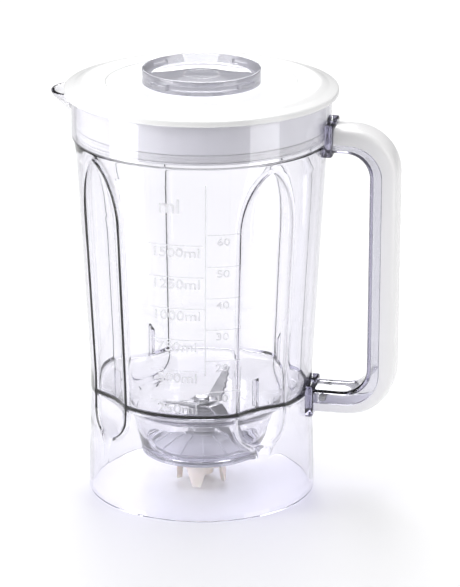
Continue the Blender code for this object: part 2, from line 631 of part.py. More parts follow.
def make_handle_cover(white):
    """White outer half of the handle: a channel open inwards, with a tab for the pin."""
    start_top = BAND_R + 2 * GAP + ROOT_FLANGE_T
    start_low = WAIST_R + 2 * GAP + ROOT_FLANGE_T
    outer = rail(GRIP_OUT_X, ARM_TOP_OUT_Z, ARM_LOW_OUT_Z, CORNER_OUT_R, start_top, start_low)
    split = (GRIP_SPLIT_X + GAP / 2, ARM_TOP_SPLIT_Z + GAP / 2, ARM_LOW_SPLIT_Z - GAP / 2, CORNER_SPLIT_R)
    cover = handle_band("handle_cover", outer, rail(*split, start_top, start_low), HANDLE_HALF_WIDTH, white)
    round_outer_edges(cover, outer)
    inner = rail(GRIP_OUT_X - HANDLE_WALL, ARM_TOP_OUT_Z - HANDLE_WALL, ARM_LOW_OUT_Z + HANDLE_WALL,
                 CORNER_OUT_R - HANDLE_WALL, start_top + HANDLE_WALL, start_low + HANDLE_WALL)
    below = rail(GRIP_SPLIT_X - HANDLE_WALL, ARM_TOP_SPLIT_Z - HANDLE_WALL, ARM_LOW_SPLIT_Z + HANDLE_WALL,
                 CORNER_SPLIT_R - HANDLE_WALL, start_top + HANDLE_WALL, start_low + HANDLE_WALL)
    boolean(cover, handle_band("cover_hollow", inner, below, HANDLE_HALF_WIDTH - COVER_CHEEK))
    (pin_x, _, pin_z), _ = pin_ends()
    half = PIN_R + GAP + TAB_WALL
    tab = block("cover_tab", (pin_x - half, -TAB_HALF_WIDTH, ARM_LOW_OUT_Z + HANDLE_WALL / 2),
                (pin_x + half, TAB_HALF_WIDTH, ARM_LOW_IN_Z - HANDLE_WALL - GAP))
    boolean(cover, tab, "UNION")
    boolean(cover, cylinder("tab_hole", PIN_R + GAP, (pin_x, -OVERRUN, pin_z), (pin_x, OVERRUN, pin_z)))
    return cover


def make_carrier(smoke):
    """Blade carrier: a bell with a seat flange and a hub that holds both bushes."""
    pocket_r = BUSH_R + GAP
    throat_r = SHAFT_R + HUB_THROAT_GAP
    low_pocket = HUB_LOW_Z + BUSH_LENGTH + 2 * GAP
    high_pocket = HUB_TOP_Z - BUSH_LENGTH - 2 * GAP
    under_hub = HUB_SHOULDER_Z - BELL_T - BELL_EDGE
    profile = [(HUB_R, HUB_TOP_Z), (HUB_R, HUB_SHOULDER_Z), (BELL_R, CARRIER_FLANGE_HIGH_Z),
               (CARRIER_R, CARRIER_FLANGE_HIGH_Z), (CARRIER_R, CARRIER_FLANGE_LOW_Z),
               (BELL_R - BELL_EDGE, CARRIER_FLANGE_LOW_Z), (HUB_R - BELL_EDGE, under_hub + 0.0004),
               (HUB_TUBE_R, under_hub), (HUB_TUBE_R, HUB_LOW_Z), (pocket_r, HUB_LOW_Z),
               (pocket_r, low_pocket), (throat_r, low_pocket), (throat_r, high_pocket),
               (pocket_r, high_pocket), (pocket_r, HUB_TOP_Z)]
    return turned("blade_carrier", profile, smoke, steps=CAP_STEPS, closed=True)


def blade_side(wings, low_z):
    """Side view of a blade: a strip that bends at each side of its flat middle."""
    (_, right_bend, right_inset), (_, left_bend, left_inset) = wings
    right = math.radians(right_bend)
    left = math.radians(left_bend)
    run_right = SWEEP_R - right_inset - BLADE_BEND_R
    run_left = SWEEP_R - left_inset - BLADE_BEND_R
    tip_right = (BLADE_BEND_R + run_right, low_z + run_right * math.tan(right))
    tip_left = (-BLADE_BEND_R - run_left, low_z + run_left * math.tan(left))
    low = [tip_left, (-BLADE_BEND_R, low_z), (BLADE_BEND_R, low_z), tip_right]
    high = []
    for (x, z), lean, at_bend in zip(low, (-left, -left / 2, right / 2, right), (False, True, True, False)):
        rise = BLADE_T if not at_bend else BLADE_T / math.cos(lean)
        high.append((x - rise * math.sin(lean), z + rise * math.cos(lean)))
    return low + high[::-1]


def make_blade(name, wings, low_z, steel):
    """A stamped blade: a bent strip cut to pointed wings, with a hole for the shaft's nose."""
    turn = Matrix.Translation((AXIS_X, 0, 0)) @ Matrix.Rotation(math.radians(wings[0][0]), 4, "Z")
    blade = slab(name, blade_side(wings, low_z), -BLADE_WIDTH / 2, BLADE_WIDTH / 2,
                 turn @ Matrix.Rotation(math.radians(90), 4, "X"), steel)
    half = BLADE_WIDTH / 2 + SEAT_GAP
    tip = BLADE_TIP_WIDTH / 2
    right, left = [SWEEP_R - inset + BLADE_T for _, _, inset in wings]
    outline = [(-left, -tip), (-BLADE_BEND_R, -half), (BLADE_BEND_R, -half), (right, -tip),
               (right, tip), (BLADE_BEND_R, half), (-BLADE_BEND_R, half), (-left, tip)]
    plan = slab(name + "_plan", outline, low_z - SWEEP_R, low_z + SWEEP_R, turn)
    boolean(blade, plan, "INTERSECT")
    hole = cylinder(name + "_hole", SHAFT_NOSE_R + GAP, (AXIS_X, 0, low_z - OVERRUN),
                    (AXIS_X, 0, low_z + OVERRUN))
    boolean(blade, hole)
    return blade


def make_shaft(steel, nose_top_z, shoulder_z):
    """Drive shaft, with a nose for the blades and a groove for the clip."""
    groove_high = HUB_LOW_Z - GAP
    groove_low = groove_high - CLIP_T - 2 * GAP
    profile = [(0, nose_top_z), (SHAFT_NOSE_R, nose_top_z), (SHAFT_NOSE_R, shoulder_z),
               (SHAFT_R, shoulder_z), (SHAFT_R, groove_high), (CLIP_GROOVE_R, groove_high),
               (CLIP_GROOVE_R, groove_low), (SHAFT_R, groove_low), (SHAFT_R, SHAFT_LOW_Z),
               (0, SHAFT_LOW_Z)]
    return turned("drive_shaft", profile, steel, steps=TINY_STEPS)


def make_nut(steel, low_z):
    """Low hexagon nut with a blind bore over the shaft's nose."""
    bore_r = SHAFT_NOSE_R + GAP
    roof_z = low_z + NUT_T
    top_z = roof_z + NUT_ROOF_T
    profile = [(0, top_z), (NUT_R - NUT_EDGE, top_z), (NUT_R, top_z - NUT_EDGE), (NUT_R, low_z),
               (bore_r, low_z), (bore_r, roof_z - GAP), (0, roof_z - GAP)]
    nut = turned("blade_nut", profile, steel, steps=TINY_STEPS)
    flats = cylinder("nut_flats", NUT_R, (AXIS_X, 0, low_z - OVERRUN), (AXIS_X, 0, top_z + OVERRUN), steps=6)
    boolean(nut, flats, "INTERSECT")
    return nut


def make_coupling(cream):
    """Drive coupling: a cup with four tapering claws that point down, and a boss for the shaft."""
    inner_r = COUPLING_R - COUPLING_WALL
    plate_low = COUPLING_TOP_Z - COUPLING_PLATE_T
    bore_r = SHAFT_R + GAP
    boss_r = bore_r + COUPLING_BOSS_WALL
    bore_low = SHAFT_LOW_Z - GAP
    boss_low = bore_low - COUPLING_BOSS_FLOOR_T
    profile = [(COUPLING_R, COUPLING_TOP_Z), (COUPLING_R, COUPLING_LOW_Z), (inner_r, COUPLING_LOW_Z),
               (inner_r, plate_low), (boss_r, plate_low), (boss_r, boss_low), (0, boss_low)]
    bore = cylinder("coupling_bore", bore_r, (AXIS_X, 0, bore_low), (AXIS_X, 0, COUPLING_TOP_Z + OVERRUN))
    coupling = turned("drive_coupling", [(0, COUPLING_TOP_Z)] + profile, cream, steps=TINY_STEPS * 2)
    boolean(coupling, bore)
    low = COUPLING_LOW_Z - 0.001
    outline = [(-COUPLING_SLOT_TOP_W / 2, COUPLING_SLOT_TOP_Z), (-COUPLING_SLOT_LOW_W / 2, low),
               (COUPLING_SLOT_LOW_W / 2, low), (COUPLING_SLOT_TOP_W / 2, COUPLING_SLOT_TOP_Z)]
    quarter = math.radians(90)
    for azimuth in COUPLING_SLOT_AZIMUTHS:
        turn = Matrix.Translation((AXIS_X, 0, 0)) @ Matrix.Rotation(math.radians(azimuth) + quarter, 4, "Z")
        slot = slab(f"coupling_slot_{azimuth}", outline, boss_r + 0.001, COUPLING_R + 0.004,
                    turn @ Matrix.Rotation(quarter, 4, "X"))
        boolean(coupling, slot)
    return coupling


def make_blade_unit(smoke, rubber, bronze, steel, cream):
    """Everything that drops out of the jug's bowl with the blades."""
    make_carrier(smoke)
    make_ring("carrier_seal", LIP_R + GAP, CARRIER_R, CARRIER_FLANGE_HIGH_Z + GAP, LIP_LOW_Z - GAP,
              rubber, CAP_STEPS)
    bore_r = SHAFT_R + RUNNING_GAP
    bush_low = HUB_LOW_Z + GAP
    bush_high = HUB_TOP_Z - GAP
    make_ring("lower_bush", bore_r, BUSH_R, bush_low, bush_low + BUSH_LENGTH, bronze, TINY_STEPS)
    make_ring("upper_bush", bore_r, BUSH_R, bush_high - BUSH_LENGTH, bush_high, bronze, TINY_STEPS)
    seal_low = HUB_TOP_Z + GAP
    seal_high = seal_low + SHAFT_SEAL_T
    make_ring("shaft_seal", bore_r, SHAFT_SEAL_R, seal_low, seal_high, rubber)
    washer_low = seal_high + GAP
    washer_high = washer_low + THRUST_WASHER_T
    make_ring("thrust_washer", bore_r, THRUST_WASHER_R, washer_low, washer_high, steel)
    spacer_low = washer_high + GAP
    spacer_high = spacer_low + SPACER_T
    make_ring("blade_spacer", bore_r, SPACER_R, spacer_low, spacer_high, steel)
    lower_low = spacer_high + GAP
    upper_low = lower_low + BLADE_T + GAP
    nut_low = upper_low + BLADE_T + GAP
    make_blade("lower_blade", LOWER_WINGS, lower_low, steel)
    make_blade("upper_blade", UPPER_WINGS, upper_low, steel)
    make_nut(steel, nut_low)
    make_shaft(steel, nut_low + NUT_T - 2 * GAP, spacer_high)
    clip_high = HUB_LOW_Z - 2 * GAP
    make_ring("retaining_clip", CLIP_GROOVE_R + GAP, CLIP_R, clip_high - CLIP_T, clip_high,
              steel, TINY_STEPS)
    make_coupling(cream)


def build():
    """Make every piece."""
    start()
    clear = make_material("clear_plastic", (0.92, 0.93, 0.96), 0.06, transmission=1.0)
    smoke = make_material("grey_clear_plastic", (0.72, 0.73, 0.75), 0.15, transmission=0.6)
    white = make_material("white_plastic", (0.93, 0.93, 0.93), 0.22)
    seal = make_material("white_seal", (0.88, 0.88, 0.87), 0.5)
    rubber = make_material("grey_rubber", (0.35, 0.36, 0.37), 0.6)
    steel = make_material("stainless_steel", (0.62, 0.62, 0.63), 0.28, metallic=1.0)
    bronze = make_material("sintered_bronze", (0.55, 0.38, 0.22), 0.5, metallic=1.0)
    cream = make_material("cream_nylon", (0.80, 0.74, 0.66), 0.45)
    make_jug(clear)
    make_handle_frame(clear)
    make_handle_cover(white)
    cylinder("cover_pin", PIN_R, *pin_ends(), steel)
    make_lid(white)
    make_lid_seal(seal)
    make_cap(clear)
    make_blade_unit(smoke, rubber, bronze, steel, cream)
    for thing in PARTS.objects:
        shade(thing.data)


build()
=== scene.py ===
"""Looks of the blender jug: clear fluted jug, white lid, clear filler cap, two-part handle, blade unit."""
import math

import bpy
from mathutils import Matrix, Vector


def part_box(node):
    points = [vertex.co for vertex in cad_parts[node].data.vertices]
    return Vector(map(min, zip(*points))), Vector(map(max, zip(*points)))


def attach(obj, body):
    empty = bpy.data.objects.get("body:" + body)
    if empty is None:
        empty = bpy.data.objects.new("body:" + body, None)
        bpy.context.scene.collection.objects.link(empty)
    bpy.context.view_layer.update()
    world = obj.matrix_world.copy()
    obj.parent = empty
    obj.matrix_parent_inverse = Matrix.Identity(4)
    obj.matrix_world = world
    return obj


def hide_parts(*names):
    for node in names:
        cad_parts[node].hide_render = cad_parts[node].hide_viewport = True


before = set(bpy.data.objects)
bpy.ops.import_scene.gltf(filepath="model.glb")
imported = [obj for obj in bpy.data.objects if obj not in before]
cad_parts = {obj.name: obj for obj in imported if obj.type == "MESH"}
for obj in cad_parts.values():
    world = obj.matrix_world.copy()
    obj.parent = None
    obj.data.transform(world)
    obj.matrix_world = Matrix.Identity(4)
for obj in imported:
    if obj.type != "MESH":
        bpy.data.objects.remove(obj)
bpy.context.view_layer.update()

# ---------------------------------------------------------------- sizes, from the frame
lid_low, lid_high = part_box("lid")
jug_low, jug_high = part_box("jug")
cap_low, cap_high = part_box("filler_cap")
seal_low, seal_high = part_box("lid_seal")
cover_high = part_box("handle_cover")[1]
carrier_low, carrier_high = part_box("blade_carrier")
pin_low, pin_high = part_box("cover_pin")
AX = (lid_low.x + lid_high.x) / 2      # the jug's axis
RIM_Z = jug_high.z
BAND_R = jug_high.y
SPOUT_REACH = AX - jug_low.x
LID_R = lid_high.y
WALL = 0.0025
GAP = 0.0003

FOOT_R = 0.0670
WAIST_R = 0.0655
COLLAR_R = BAND_R - 0.0011
SHOULDER_R = BAND_R - 0.0028
BAND_Z = RIM_Z - 0.0248
COLLAR_Z = BAND_Z - 0.0012
SHOULDER_Z = BAND_Z - 0.0122
WAIST_LOW_Z = 0.0600
WAIST_HIGH_Z = 0.0750
FLOOR_Z = 0.0648
FLOOR_T = 0.0016
SEAT_R = 0.0330
SEAT_LOW_Z = 0.0220
LIP_LOW_Z = 0.0252
LIP_TOP_Z = 0.0274
LIP_R = 0.0295
BOWL_LOW_R = 0.0342
BOWL_TOP_R = 0.0385
BOWL_TOP_Z = 0.0485
BOWL_WALL = 0.0022

FLUTE_HALF_ANGLE = math.radians(14.4)
FLUTE_CENTRE_R = WAIST_R + 0.0475
FLUTE_LOW_Z = 0.0420
FLUTE_STRAIGHT_LOW_Z = 0.0570
FLUTE_STRAIGHT_HIGH_Z = 0.1740
FLUTE_TOP_Z = 0.2098
FLUTE_EDGE = 0.00018                   # softness of a flute's edges outside
FLUTE_BEAD = 0.00050
FLUTE_BEAD_R = 0.0007

SPOUT_R = 0.0190
SPOUT_LOW_R = 0.0054
SPOUT_LOW_Z = RIM_Z - 0.0180
SPOUT_DROP = 0.0018
SPOUT_WALL = 0.0022

JUG_COLUMNS = 360
TAU = 2 * math.pi


# ---------------------------------------------------------------- modelling helpers
def none_selected():
    """Leave edit mode and deselect everything."""
    if bpy.context.object and bpy.context.object.mode != "OBJECT":
        bpy.ops.object.mode_set(mode="OBJECT")
    bpy.ops.object.select_all(action="DESELECT")


def only(thing):
    """Select one object and make it the active one."""
    none_selected()
    thing.select_set(True)
    bpy.context.view_layer.objects.active = thing


def edit(thing, mode="VERT"):
    """Open an object's mesh for editing with nothing selected in it."""
    only(thing)
    bpy.ops.object.mode_set(mode="EDIT")
    bpy.ops.mesh.select_mode(type=mode)
    bpy.ops.mesh.select_all(action="DESELECT")


def done():
    """Back to object mode."""
    bpy.ops.object.mode_set(mode="OBJECT")


def tidy(thing, merge=1e-6):
    """Close seams and poles and turn the faces outwards."""
    edit(thing)
    bpy.ops.mesh.select_all(action="SELECT")
    bpy.ops.mesh.remove_doubles(threshold=merge)
    bpy.ops.mesh.dissolve_degenerate(threshold=1e-7)
    bpy.ops.mesh.normals_make_consistent(inside=False)
    done()


def settle(thing):
    """Put the object's place, turn and size into its mesh."""
    only(thing)
    bpy.ops.object.transform_apply(location=True, rotation=True, scale=True)


def smooth(thing, angle=32):
    """Smooth shading, broken where faces meet more steeply than the angle."""
    only(thing)
    bpy.ops.object.shade_smooth_by_angle(angle=math.radians(angle))


def apply_modifiers(thing):
    """Apply every modifier on an object, in order."""
    only(thing)
    for modifier in list(thing.modifiers):
        bpy.ops.object.modifier_apply(modifier=modifier.name)


def bevel(thing, width, segments=3, angle=35):
    """Round the edges that are sharper than an angle."""
    step = thing.modifiers.new("bevel", "BEVEL")
    step.width = width
    step.segments = segments
    step.limit_method = "ANGLE"
    step.angle_limit = math.radians(angle)
    step.harden_normals = False
    apply_modifiers(thing)


def boolean(thing, other, operation="DIFFERENCE"):
    """Cut, join or intersect with another object, which goes."""
    step = thing.modifiers.new(operation.lower(), "BOOLEAN")
    step.operation = operation
    step.object = other
    step.solver = "EXACT"
    apply_modifiers(thing)
    bpy.data.objects.remove(other, do_unlink=True)


def join(first, *others):
    """Join objects into the first."""
    only(first)
    for other in others:
        other.select_set(True)
    bpy.ops.object.join()
    return first


def add(piece, name, body, material, slot, *nodes):
    """Name a finished piece, give it its finish, and let it ride on its body."""
    piece.name = name
    piece.data.name = name
    piece.data.materials.clear()
    piece.data.materials.append(material)
    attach(piece, body)
    if nodes:
        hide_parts(*nodes)
    return piece


def rounded(corners, steps=4):
    """Outline through corners (x, y, radius), each turned by an arc of that radius."""
    points = []
    count = len(corners)
    for i, (x, y, radius) in enumerate(corners):
        here = Vector((x, y))
        back = Vector(corners[i - 1][:2]) - here
        ahead = Vector(corners[(i + 1) % count][:2]) - here
        half = back.angle(ahead) / 2 if back.length and ahead.length else 0
        if radius == 0 or half < 0.01 or half > math.pi / 2 - 0.01:
            points.append((x, y))
            continue
        reach = min(radius / math.tan(half), 0.48 * min(back.length, ahead.length))
        radius = reach * math.tan(half)
        centre = here + (back.normalized() + ahead.normalized()).normalized() * (radius / math.sin(half))
        first = here + back.normalized() * reach - centre
        last = here + ahead.normalized() * reach - centre
        turn = first.angle_signed(last)
        for k in range(steps + 1):
            spoke = first.copy()
            spoke.rotate(Matrix.Rotation(-turn * k / steps, 2))
            points.append(tuple(centre + spoke))
    return points


def spun(section, steps=128, closed=True):
    """Turn a section of (radius, height) points about the jug's axis."""
    none_selected()
    bpy.ops.mesh.primitive_circle_add(vertices=len(section), radius=0.01)
    thing = bpy.context.object
    for vertex, (r, z) in zip(thing.data.vertices, section):
        vertex.co = (r, 0, z)
    if not closed:
        last = len(section) - 1
        edit(thing, "EDGE")
        done()
        for edge in thing.data.edges:
            edge.select = set(edge.vertices) == {0, last}
        bpy.ops.object.mode_set(mode="EDIT")
        bpy.ops.mesh.delete(type="EDGE")
        done()
    edit(thing)
    bpy.ops.mesh.select_all(action="SELECT")
    bpy.ops.mesh.spin(steps=steps, angle=TAU, center=(0, 0, 0), axis=(0, 0, 1))
    done()
    thing.location.x = AX
    settle(thing)
    tidy(thing)
    return thing


def solid_turn(corners, steps, arc_steps):
    """A turned piece whose first and last corners lie on the axis."""
    section = rounded(corners, arc_steps)
    section[0] = (0, section[0][1])
    section[-1] = (0, section[-1][1])
    return spun(section, steps, closed=False)


def ring(inner, outer, low, high, edge, steps=96):
    """A ring of rectangular section with rounded edges."""
    corners = [(outer, high, edge), (outer, low, edge), (inner, low, edge), (inner, high, edge)]
    return spun(rounded(corners, 3), steps)


def box(low, high):
    """A block between two corners."""
    none_selected()
    middle = (Vector(low) + Vector(high)) / 2
    bpy.ops.mesh.primitive_cube_add(size=1, location=middle, scale=Vector(high) - Vector(low))
    thing = bpy.context.object
    settle(thing)
    return thing


def rod(radius, low, high, steps=48):
    """A cylinder between two points."""
    none_selected()
    run = Vector(high) - Vector(low)
    bpy.ops.mesh.primitive_cylinder_add(vertices=steps, radius=radius, depth=run.length,
                                        location=(Vector(low) + Vector(high)) / 2,
                                        rotation=run.to_track_quat("Z", "Y").to_euler())
    thing = bpy.context.object
    settle(thing)
    return thing


def plate(outline, low, high):
    """A flat outline in x, y given thickness from low to high."""
    none_selected()
    bpy.ops.mesh.primitive_circle_add(vertices=len(outline), radius=0.01, fill_type="NGON")
    thing = bpy.context.object
    for vertex, (x, y) in zip(thing.data.vertices, outline):
        vertex.co = (x, y, low)
    edit(thing, "FACE")
    bpy.ops.mesh.select_all(action="SELECT")
    bpy.ops.mesh.extrude_region_move(TRANSFORM_OT_translate={"value": (0, 0, high - low)})
    bpy.ops.mesh.select_all(action="SELECT")
    bpy.ops.mesh.normals_make_consistent(inside=False)
    done()
    return thing


def turned_about_axis(thing, degrees):
    """Turn a mesh drawn about the origin to an azimuth, and move it onto the jug's axis."""
    turn = Matrix.Translation((AX, 0, 0)) @ Matrix.Rotation(math.radians(degrees), 4, "Z")
    thing.data.transform(turn)
    return thing


def mix(a, b, share):
    """Straight-line mix."""
    return a + (b - a) * share


def ease(x):
    """0 to 1 with soft ends."""
    x = min(1.0, max(0.0, x))
    return x * x * (3 - 2 * x)


# ---------------------------------------------------------------- materials
def new_material(name, colour, roughness, **sockets):
    """A Principled material and its shader node."""
    finish = bpy.data.materials.new(name)
    finish.use_nodes = True
    shader = finish.node_tree.nodes["Principled BSDF"]
    shader.inputs["Base Color"].default_value = (*colour, 1)
    shader.inputs["Roughness"].default_value = roughness
    for socket, value in sockets.items():
        shader.inputs[socket.replace("_", " ")].default_value = value
    return finish, shader


def noise(finish, scale, detail=3.0, stretch=(1, 1, 1)):
    """A noise texture on Object coordinates."""
    nodes, links = finish.node_tree.nodes, finish.node_tree.links
    place = nodes.new("ShaderNodeTexCoord")
    mapping = nodes.new("ShaderNodeMapping")
    mapping.inputs["Scale"].default_value = stretch
    texture = nodes.new("ShaderNodeTexNoise")
    texture.inputs["Scale"].default_value = scale
    texture.inputs["Detail"].default_value = detail
    links.new(place.outputs["Object"], mapping.inputs["Vector"])
    links.new(mapping.outputs["Vector"], texture.inputs["Vector"])
    return texture.outputs["Fac"]


def spread(finish, source, low, high):
    """Maps the middle of a pattern's range to low to high."""
    step = finish.node_tree.nodes.new("ShaderNodeMapRange")
    step.inputs["From Min"].default_value = 0.3
    step.inputs["From Max"].default_value = 0.7
    step.inputs["To Min"].default_value = low
    step.inputs["To Max"].default_value = high
    finish.node_tree.links.new(source, step.inputs["Value"])
    return step.outputs["Result"]


def vary_roughness(finish, shader, source, low, high):
    """Varies the roughness between two values by a pattern."""
    finish.node_tree.links.new(spread(finish, source, low, high), shader.inputs["Roughness"])


def bump(finish, shader, source, distance, strength):
    """Raises the surface by a pattern."""
    step = finish.node_tree.nodes.new("ShaderNodeBump")
    step.inputs["Distance"].default_value = distance
    step.inputs["Strength"].default_value = strength
    finish.node_tree.links.new(source, step.inputs["Height"])
    finish.node_tree.links.new(step.outputs["Normal"], shader.inputs["Normal"])


def tint(finish, shader, source, dark, light):
    """Varies the colour between two by a pattern."""
    source = spread(finish, source, 0, 1)
    step = finish.node_tree.nodes.new("ShaderNodeMix")
    step.data_type = "RGBA"
    step.inputs["A"].default_value = (*dark, 1)
    step.inputs["B"].default_value = (*light, 1)
    finish.node_tree.links.new(source, step.inputs["Factor"])
    finish.node_tree.links.new(step.outputs["Result"], shader.inputs["Base Color"])


def let_lamps_through(finish, shader, colour):
    """Lamps shine through a clear material as through a pane of a colour."""
    nodes, links = finish.node_tree.nodes, finish.node_tree.links
    path = nodes.new("ShaderNodeLightPath")
    clear = nodes.new("ShaderNodeBsdfTransparent")
    clear.inputs["Color"].default_value = (*colour, 1)
    both = nodes.new("ShaderNodeMixShader")
    links.new(path.outputs["Is Shadow Ray"], both.inputs["Fac"])
    links.new(shader.outputs["BSDF"], both.inputs[1])
    links.new(clear.outputs["BSDF"], both.inputs[2])
    links.new(both.outputs["Shader"], nodes["Material Output"].inputs["Surface"])


def absorb(finish, colour, density):
    """The plastic's own tint, which deepens with the way through it."""
    nodes, links = finish.node_tree.nodes, finish.node_tree.links
    volume = nodes.new("ShaderNodeVolumeAbsorption")
    volume.inputs["Color"].default_value = (*colour, 1)
    volume.inputs["Density"].default_value = density
    links.new(volume.outputs["Volume"], nodes["Material Output"].inputs["Volume"])


def make_clear(name, surface, colour, density, clearness=1.0):
    """Clear styrene-like plastic: polished, faint moulding ripple, violet-grey in its depth."""
    finish, shader = new_material(name, surface, 0.02, Transmission_Weight=clearness, IOR=1.56)
    ripple = noise(finish, 60, 2, (1, 1, 0.35))
    vary_roughness(finish, shader, ripple, 0.0, 0.035)
    bump(finish, shader, noise(finish, 35, 1.5, (1, 1, 0.3)), 0.00012, 0.25)
    let_lamps_through(finish, shader, (0.93, 0.93, 0.95))
    absorb(finish, colour, density)
    return finish


def make_smoke():
    """Grey, half clear plastic of the blade unit."""
    finish, shader = new_material("smoke_plastic", (0.80, 0.80, 0.82), 0.12, Transmission_Weight=0.5, IOR=1.5)
    vary_roughness(finish, shader, noise(finish, 420, 3), 0.06, 0.2)
    bump(finish, shader, noise(finish, 90, 2), 0.0002, 0.3)
    let_lamps_through(finish, shader, (0.72, 0.73, 0.75))
    return finish


def make_white(name, colour, roughness):
    """Gloss white plastic with a fine moulded surface and faint colour drift."""
    finish, shader = new_material(name, colour, roughness, IOR=1.5, Coat_Weight=0.15, Coat_Roughness=0.08)
    tint(finish, shader, noise(finish, 14, 2), tuple(c * 0.985 for c in colour), colour)
    grain = noise(finish, 900, 4)
    vary_roughness(finish, shader, grain, roughness * 0.8, roughness * 1.25)
    bump(finish, shader, grain, 0.00004, 0.25)
    return finish


def make_rubber(name, colour, roughness):
    """Moulded silicone or rubber with a fine matt grain."""
    finish, shader = new_material(name, colour, roughness, IOR=1.45)
    grain = noise(finish, 1400, 4)
    vary_roughness(finish, shader, grain, roughness * 0.85, roughness * 1.2)
    tint(finish, shader, noise(finish, 60, 3), tuple(c * 0.93 for c in colour), colour)
    bump(finish, shader, grain, 0.00006, 0.4)
    return finish


def make_steel(name, colour, low, high, stretch):
    """Brushed stainless steel: streaks along one direction."""
    finish, shader = new_material(name, colour, low, Metallic=1.0, Anisotropic=0.45)
    streaks = noise(finish, 300, 5, stretch)
    vary_roughness(finish, shader, streaks, low, high)
    tint(finish, shader, noise(finish, 70, 4, stretch), tuple(c * 0.82 for c in colour), colour)
    bump(finish, shader, streaks, 0.00003, 0.35)
    return finish


def make_bronze():
    """Sintered bronze: porous, oily."""
    finish, shader = new_material("sintered_bronze", (0.55, 0.37, 0.2), 0.45, Metallic=1.0)
    pores = noise(finish, 1800, 5)
    tint(finish, shader, pores, (0.3, 0.19, 0.1), (0.6, 0.41, 0.23))
    vary_roughness(finish, shader, pores, 0.35, 0.65)
    bump(finish, shader, pores, 0.00008, 0.5)
    return finish


def make_nylon():
    """Cream moulded nylon, slightly see-through at its edges."""
    finish, shader = new_material("cream_nylon", (0.83, 0.77, 0.69), 0.42, IOR=1.5, Subsurface_Weight=0.15,
                                  Subsurface_Scale=0.002)
    tint(finish, shader, noise(finish, 45, 3), (0.79, 0.72, 0.63), (0.86, 0.81, 0.74))
    grain = noise(finish, 700, 4)
    vary_roughness(finish, shader, grain, 0.34, 0.52)
    bump(finish, shader, grain, 0.00006, 0.35)
    return finish


def make_frost():
    """Moulded marks on the clear wall: faintly frosted."""
    finish, shader = new_material("moulded_mark", (1, 1, 1), 0.2, Transmission_Weight=0.9, IOR=1.5)
    vary_roughness(finish, shader, noise(finish, 1500, 3), 0.2, 0.5)
    let_lamps_through(finish, shader, (0.95, 0.95, 0.96))
    return finish


# ---------------------------------------------------------------- jug
def wall_radius(z):
    """Outside radius of the jug's plain wall at a height."""
    stations = ((0.0, FOOT_R), (WAIST_LOW_Z, WAIST_R), (WAIST_HIGH_Z, WAIST_R), (SHOULDER_Z, SHOULDER_R),
                (COLLAR_Z, COLLAR_R))
    for (z0, r0), (z1, r1) in zip(stations, stations[1:]):
        if z <= z1:
            return mix(r0, r1, max(0.0, (z - z0) / (z1 - z0)))
    return COLLAR_R


def flute_half_angle(z):
    """Half-width of a flute at a height, as an angle at the jug's axis."""
    if z < FLUTE_STRAIGHT_LOW_Z:
        share = min(1.0, (FLUTE_STRAIGHT_LOW_Z - z) / (FLUTE_STRAIGHT_LOW_Z - FLUTE_LOW_Z))
        return FLUTE_HALF_ANGLE * math.sqrt(1 - share ** 2)
    if z > FLUTE_STRAIGHT_HIGH_Z:
        share = min(1.0, (z - FLUTE_STRAIGHT_HIGH_Z) / (FLUTE_TOP_Z - FLUTE_STRAIGHT_HIGH_Z))
        return FLUTE_HALF_ANGLE * (1 - share ** 2) ** 0.7
    return FLUTE_HALF_ANGLE


def column_angle(angle, z):
    """Moves a column's angle so that columns crowd along the flutes' edges and follow them."""
    quarter = TAU / 4
    base = math.floor(angle / quarter) * quarter
    off = (angle - base) / quarter * 2 - 1
    half = max(flute_half_angle(z), math.radians(2.5)) / (TAU / 8)
    knots = ((0.0, 0.0), (0.24, half * 0.86), (0.54, half * 1.13 + 0.004), (1.0, 1.0))
    size = abs(off)
    for (a0, b0), (a1, b1) in zip(knots, knots[1:]):
        if size <= a1:
            size = mix(b0, b1, (size - a0) / (a1 - a0))
            break
    return base + quarter * (math.copysign(size, off) + 1) / 2


def flute_depth(angle, z, soft=FLUTE_EDGE):
    """How far the nearest flute takes the wall in, at an angle round the jug and a height."""
    off = (angle % (TAU / 4)) - TAU / 8
    wall = wall_radius(z)
    reach = FLUTE_CENTRE_R
    scoop = wall ** 2 + reach ** 2 - 2 * wall * reach * math.cos(flute_half_angle(z))
    under = scoop - (reach * math.sin(off)) ** 2
    if under <= 0:
        return 0.0
    depth = wall - (reach * math.cos(off) - math.sqrt(under))
    beyond = max(0.0, z - FLUTE_TOP_Z, FLUTE_LOW_Z - z)
    depth -= beyond * 0.9
    fade = ease(1 - beyond / 0.003) * ease(1 + (depth + 0.0005) / 0.003)
    return fade * (depth + math.sqrt(depth ** 2 + 4 * soft ** 2)) / 2


def flute_outline():
    """Points (half width, height) along one side of a flute's outline, from its foot to its top."""
    heights = [mix(FLUTE_LOW_Z, FLUTE_STRAIGHT_LOW_Z, 1 - math.cos(math.pi / 2 * k / 14)) for k in range(14)]
    heights += [mix(FLUTE_STRAIGHT_LOW_Z, FLUTE_STRAIGHT_HIGH_Z, k / 12) for k in range(12)]
    heights += [mix(FLUTE_STRAIGHT_HIGH_Z, FLUTE_TOP_Z, math.sin(math.pi / 2 * k / 18)) for k in range(19)]
    return [Vector((flute_half_angle(z) * wall_radius(z), z)) for z in heights]


OUTLINE = flute_outline()


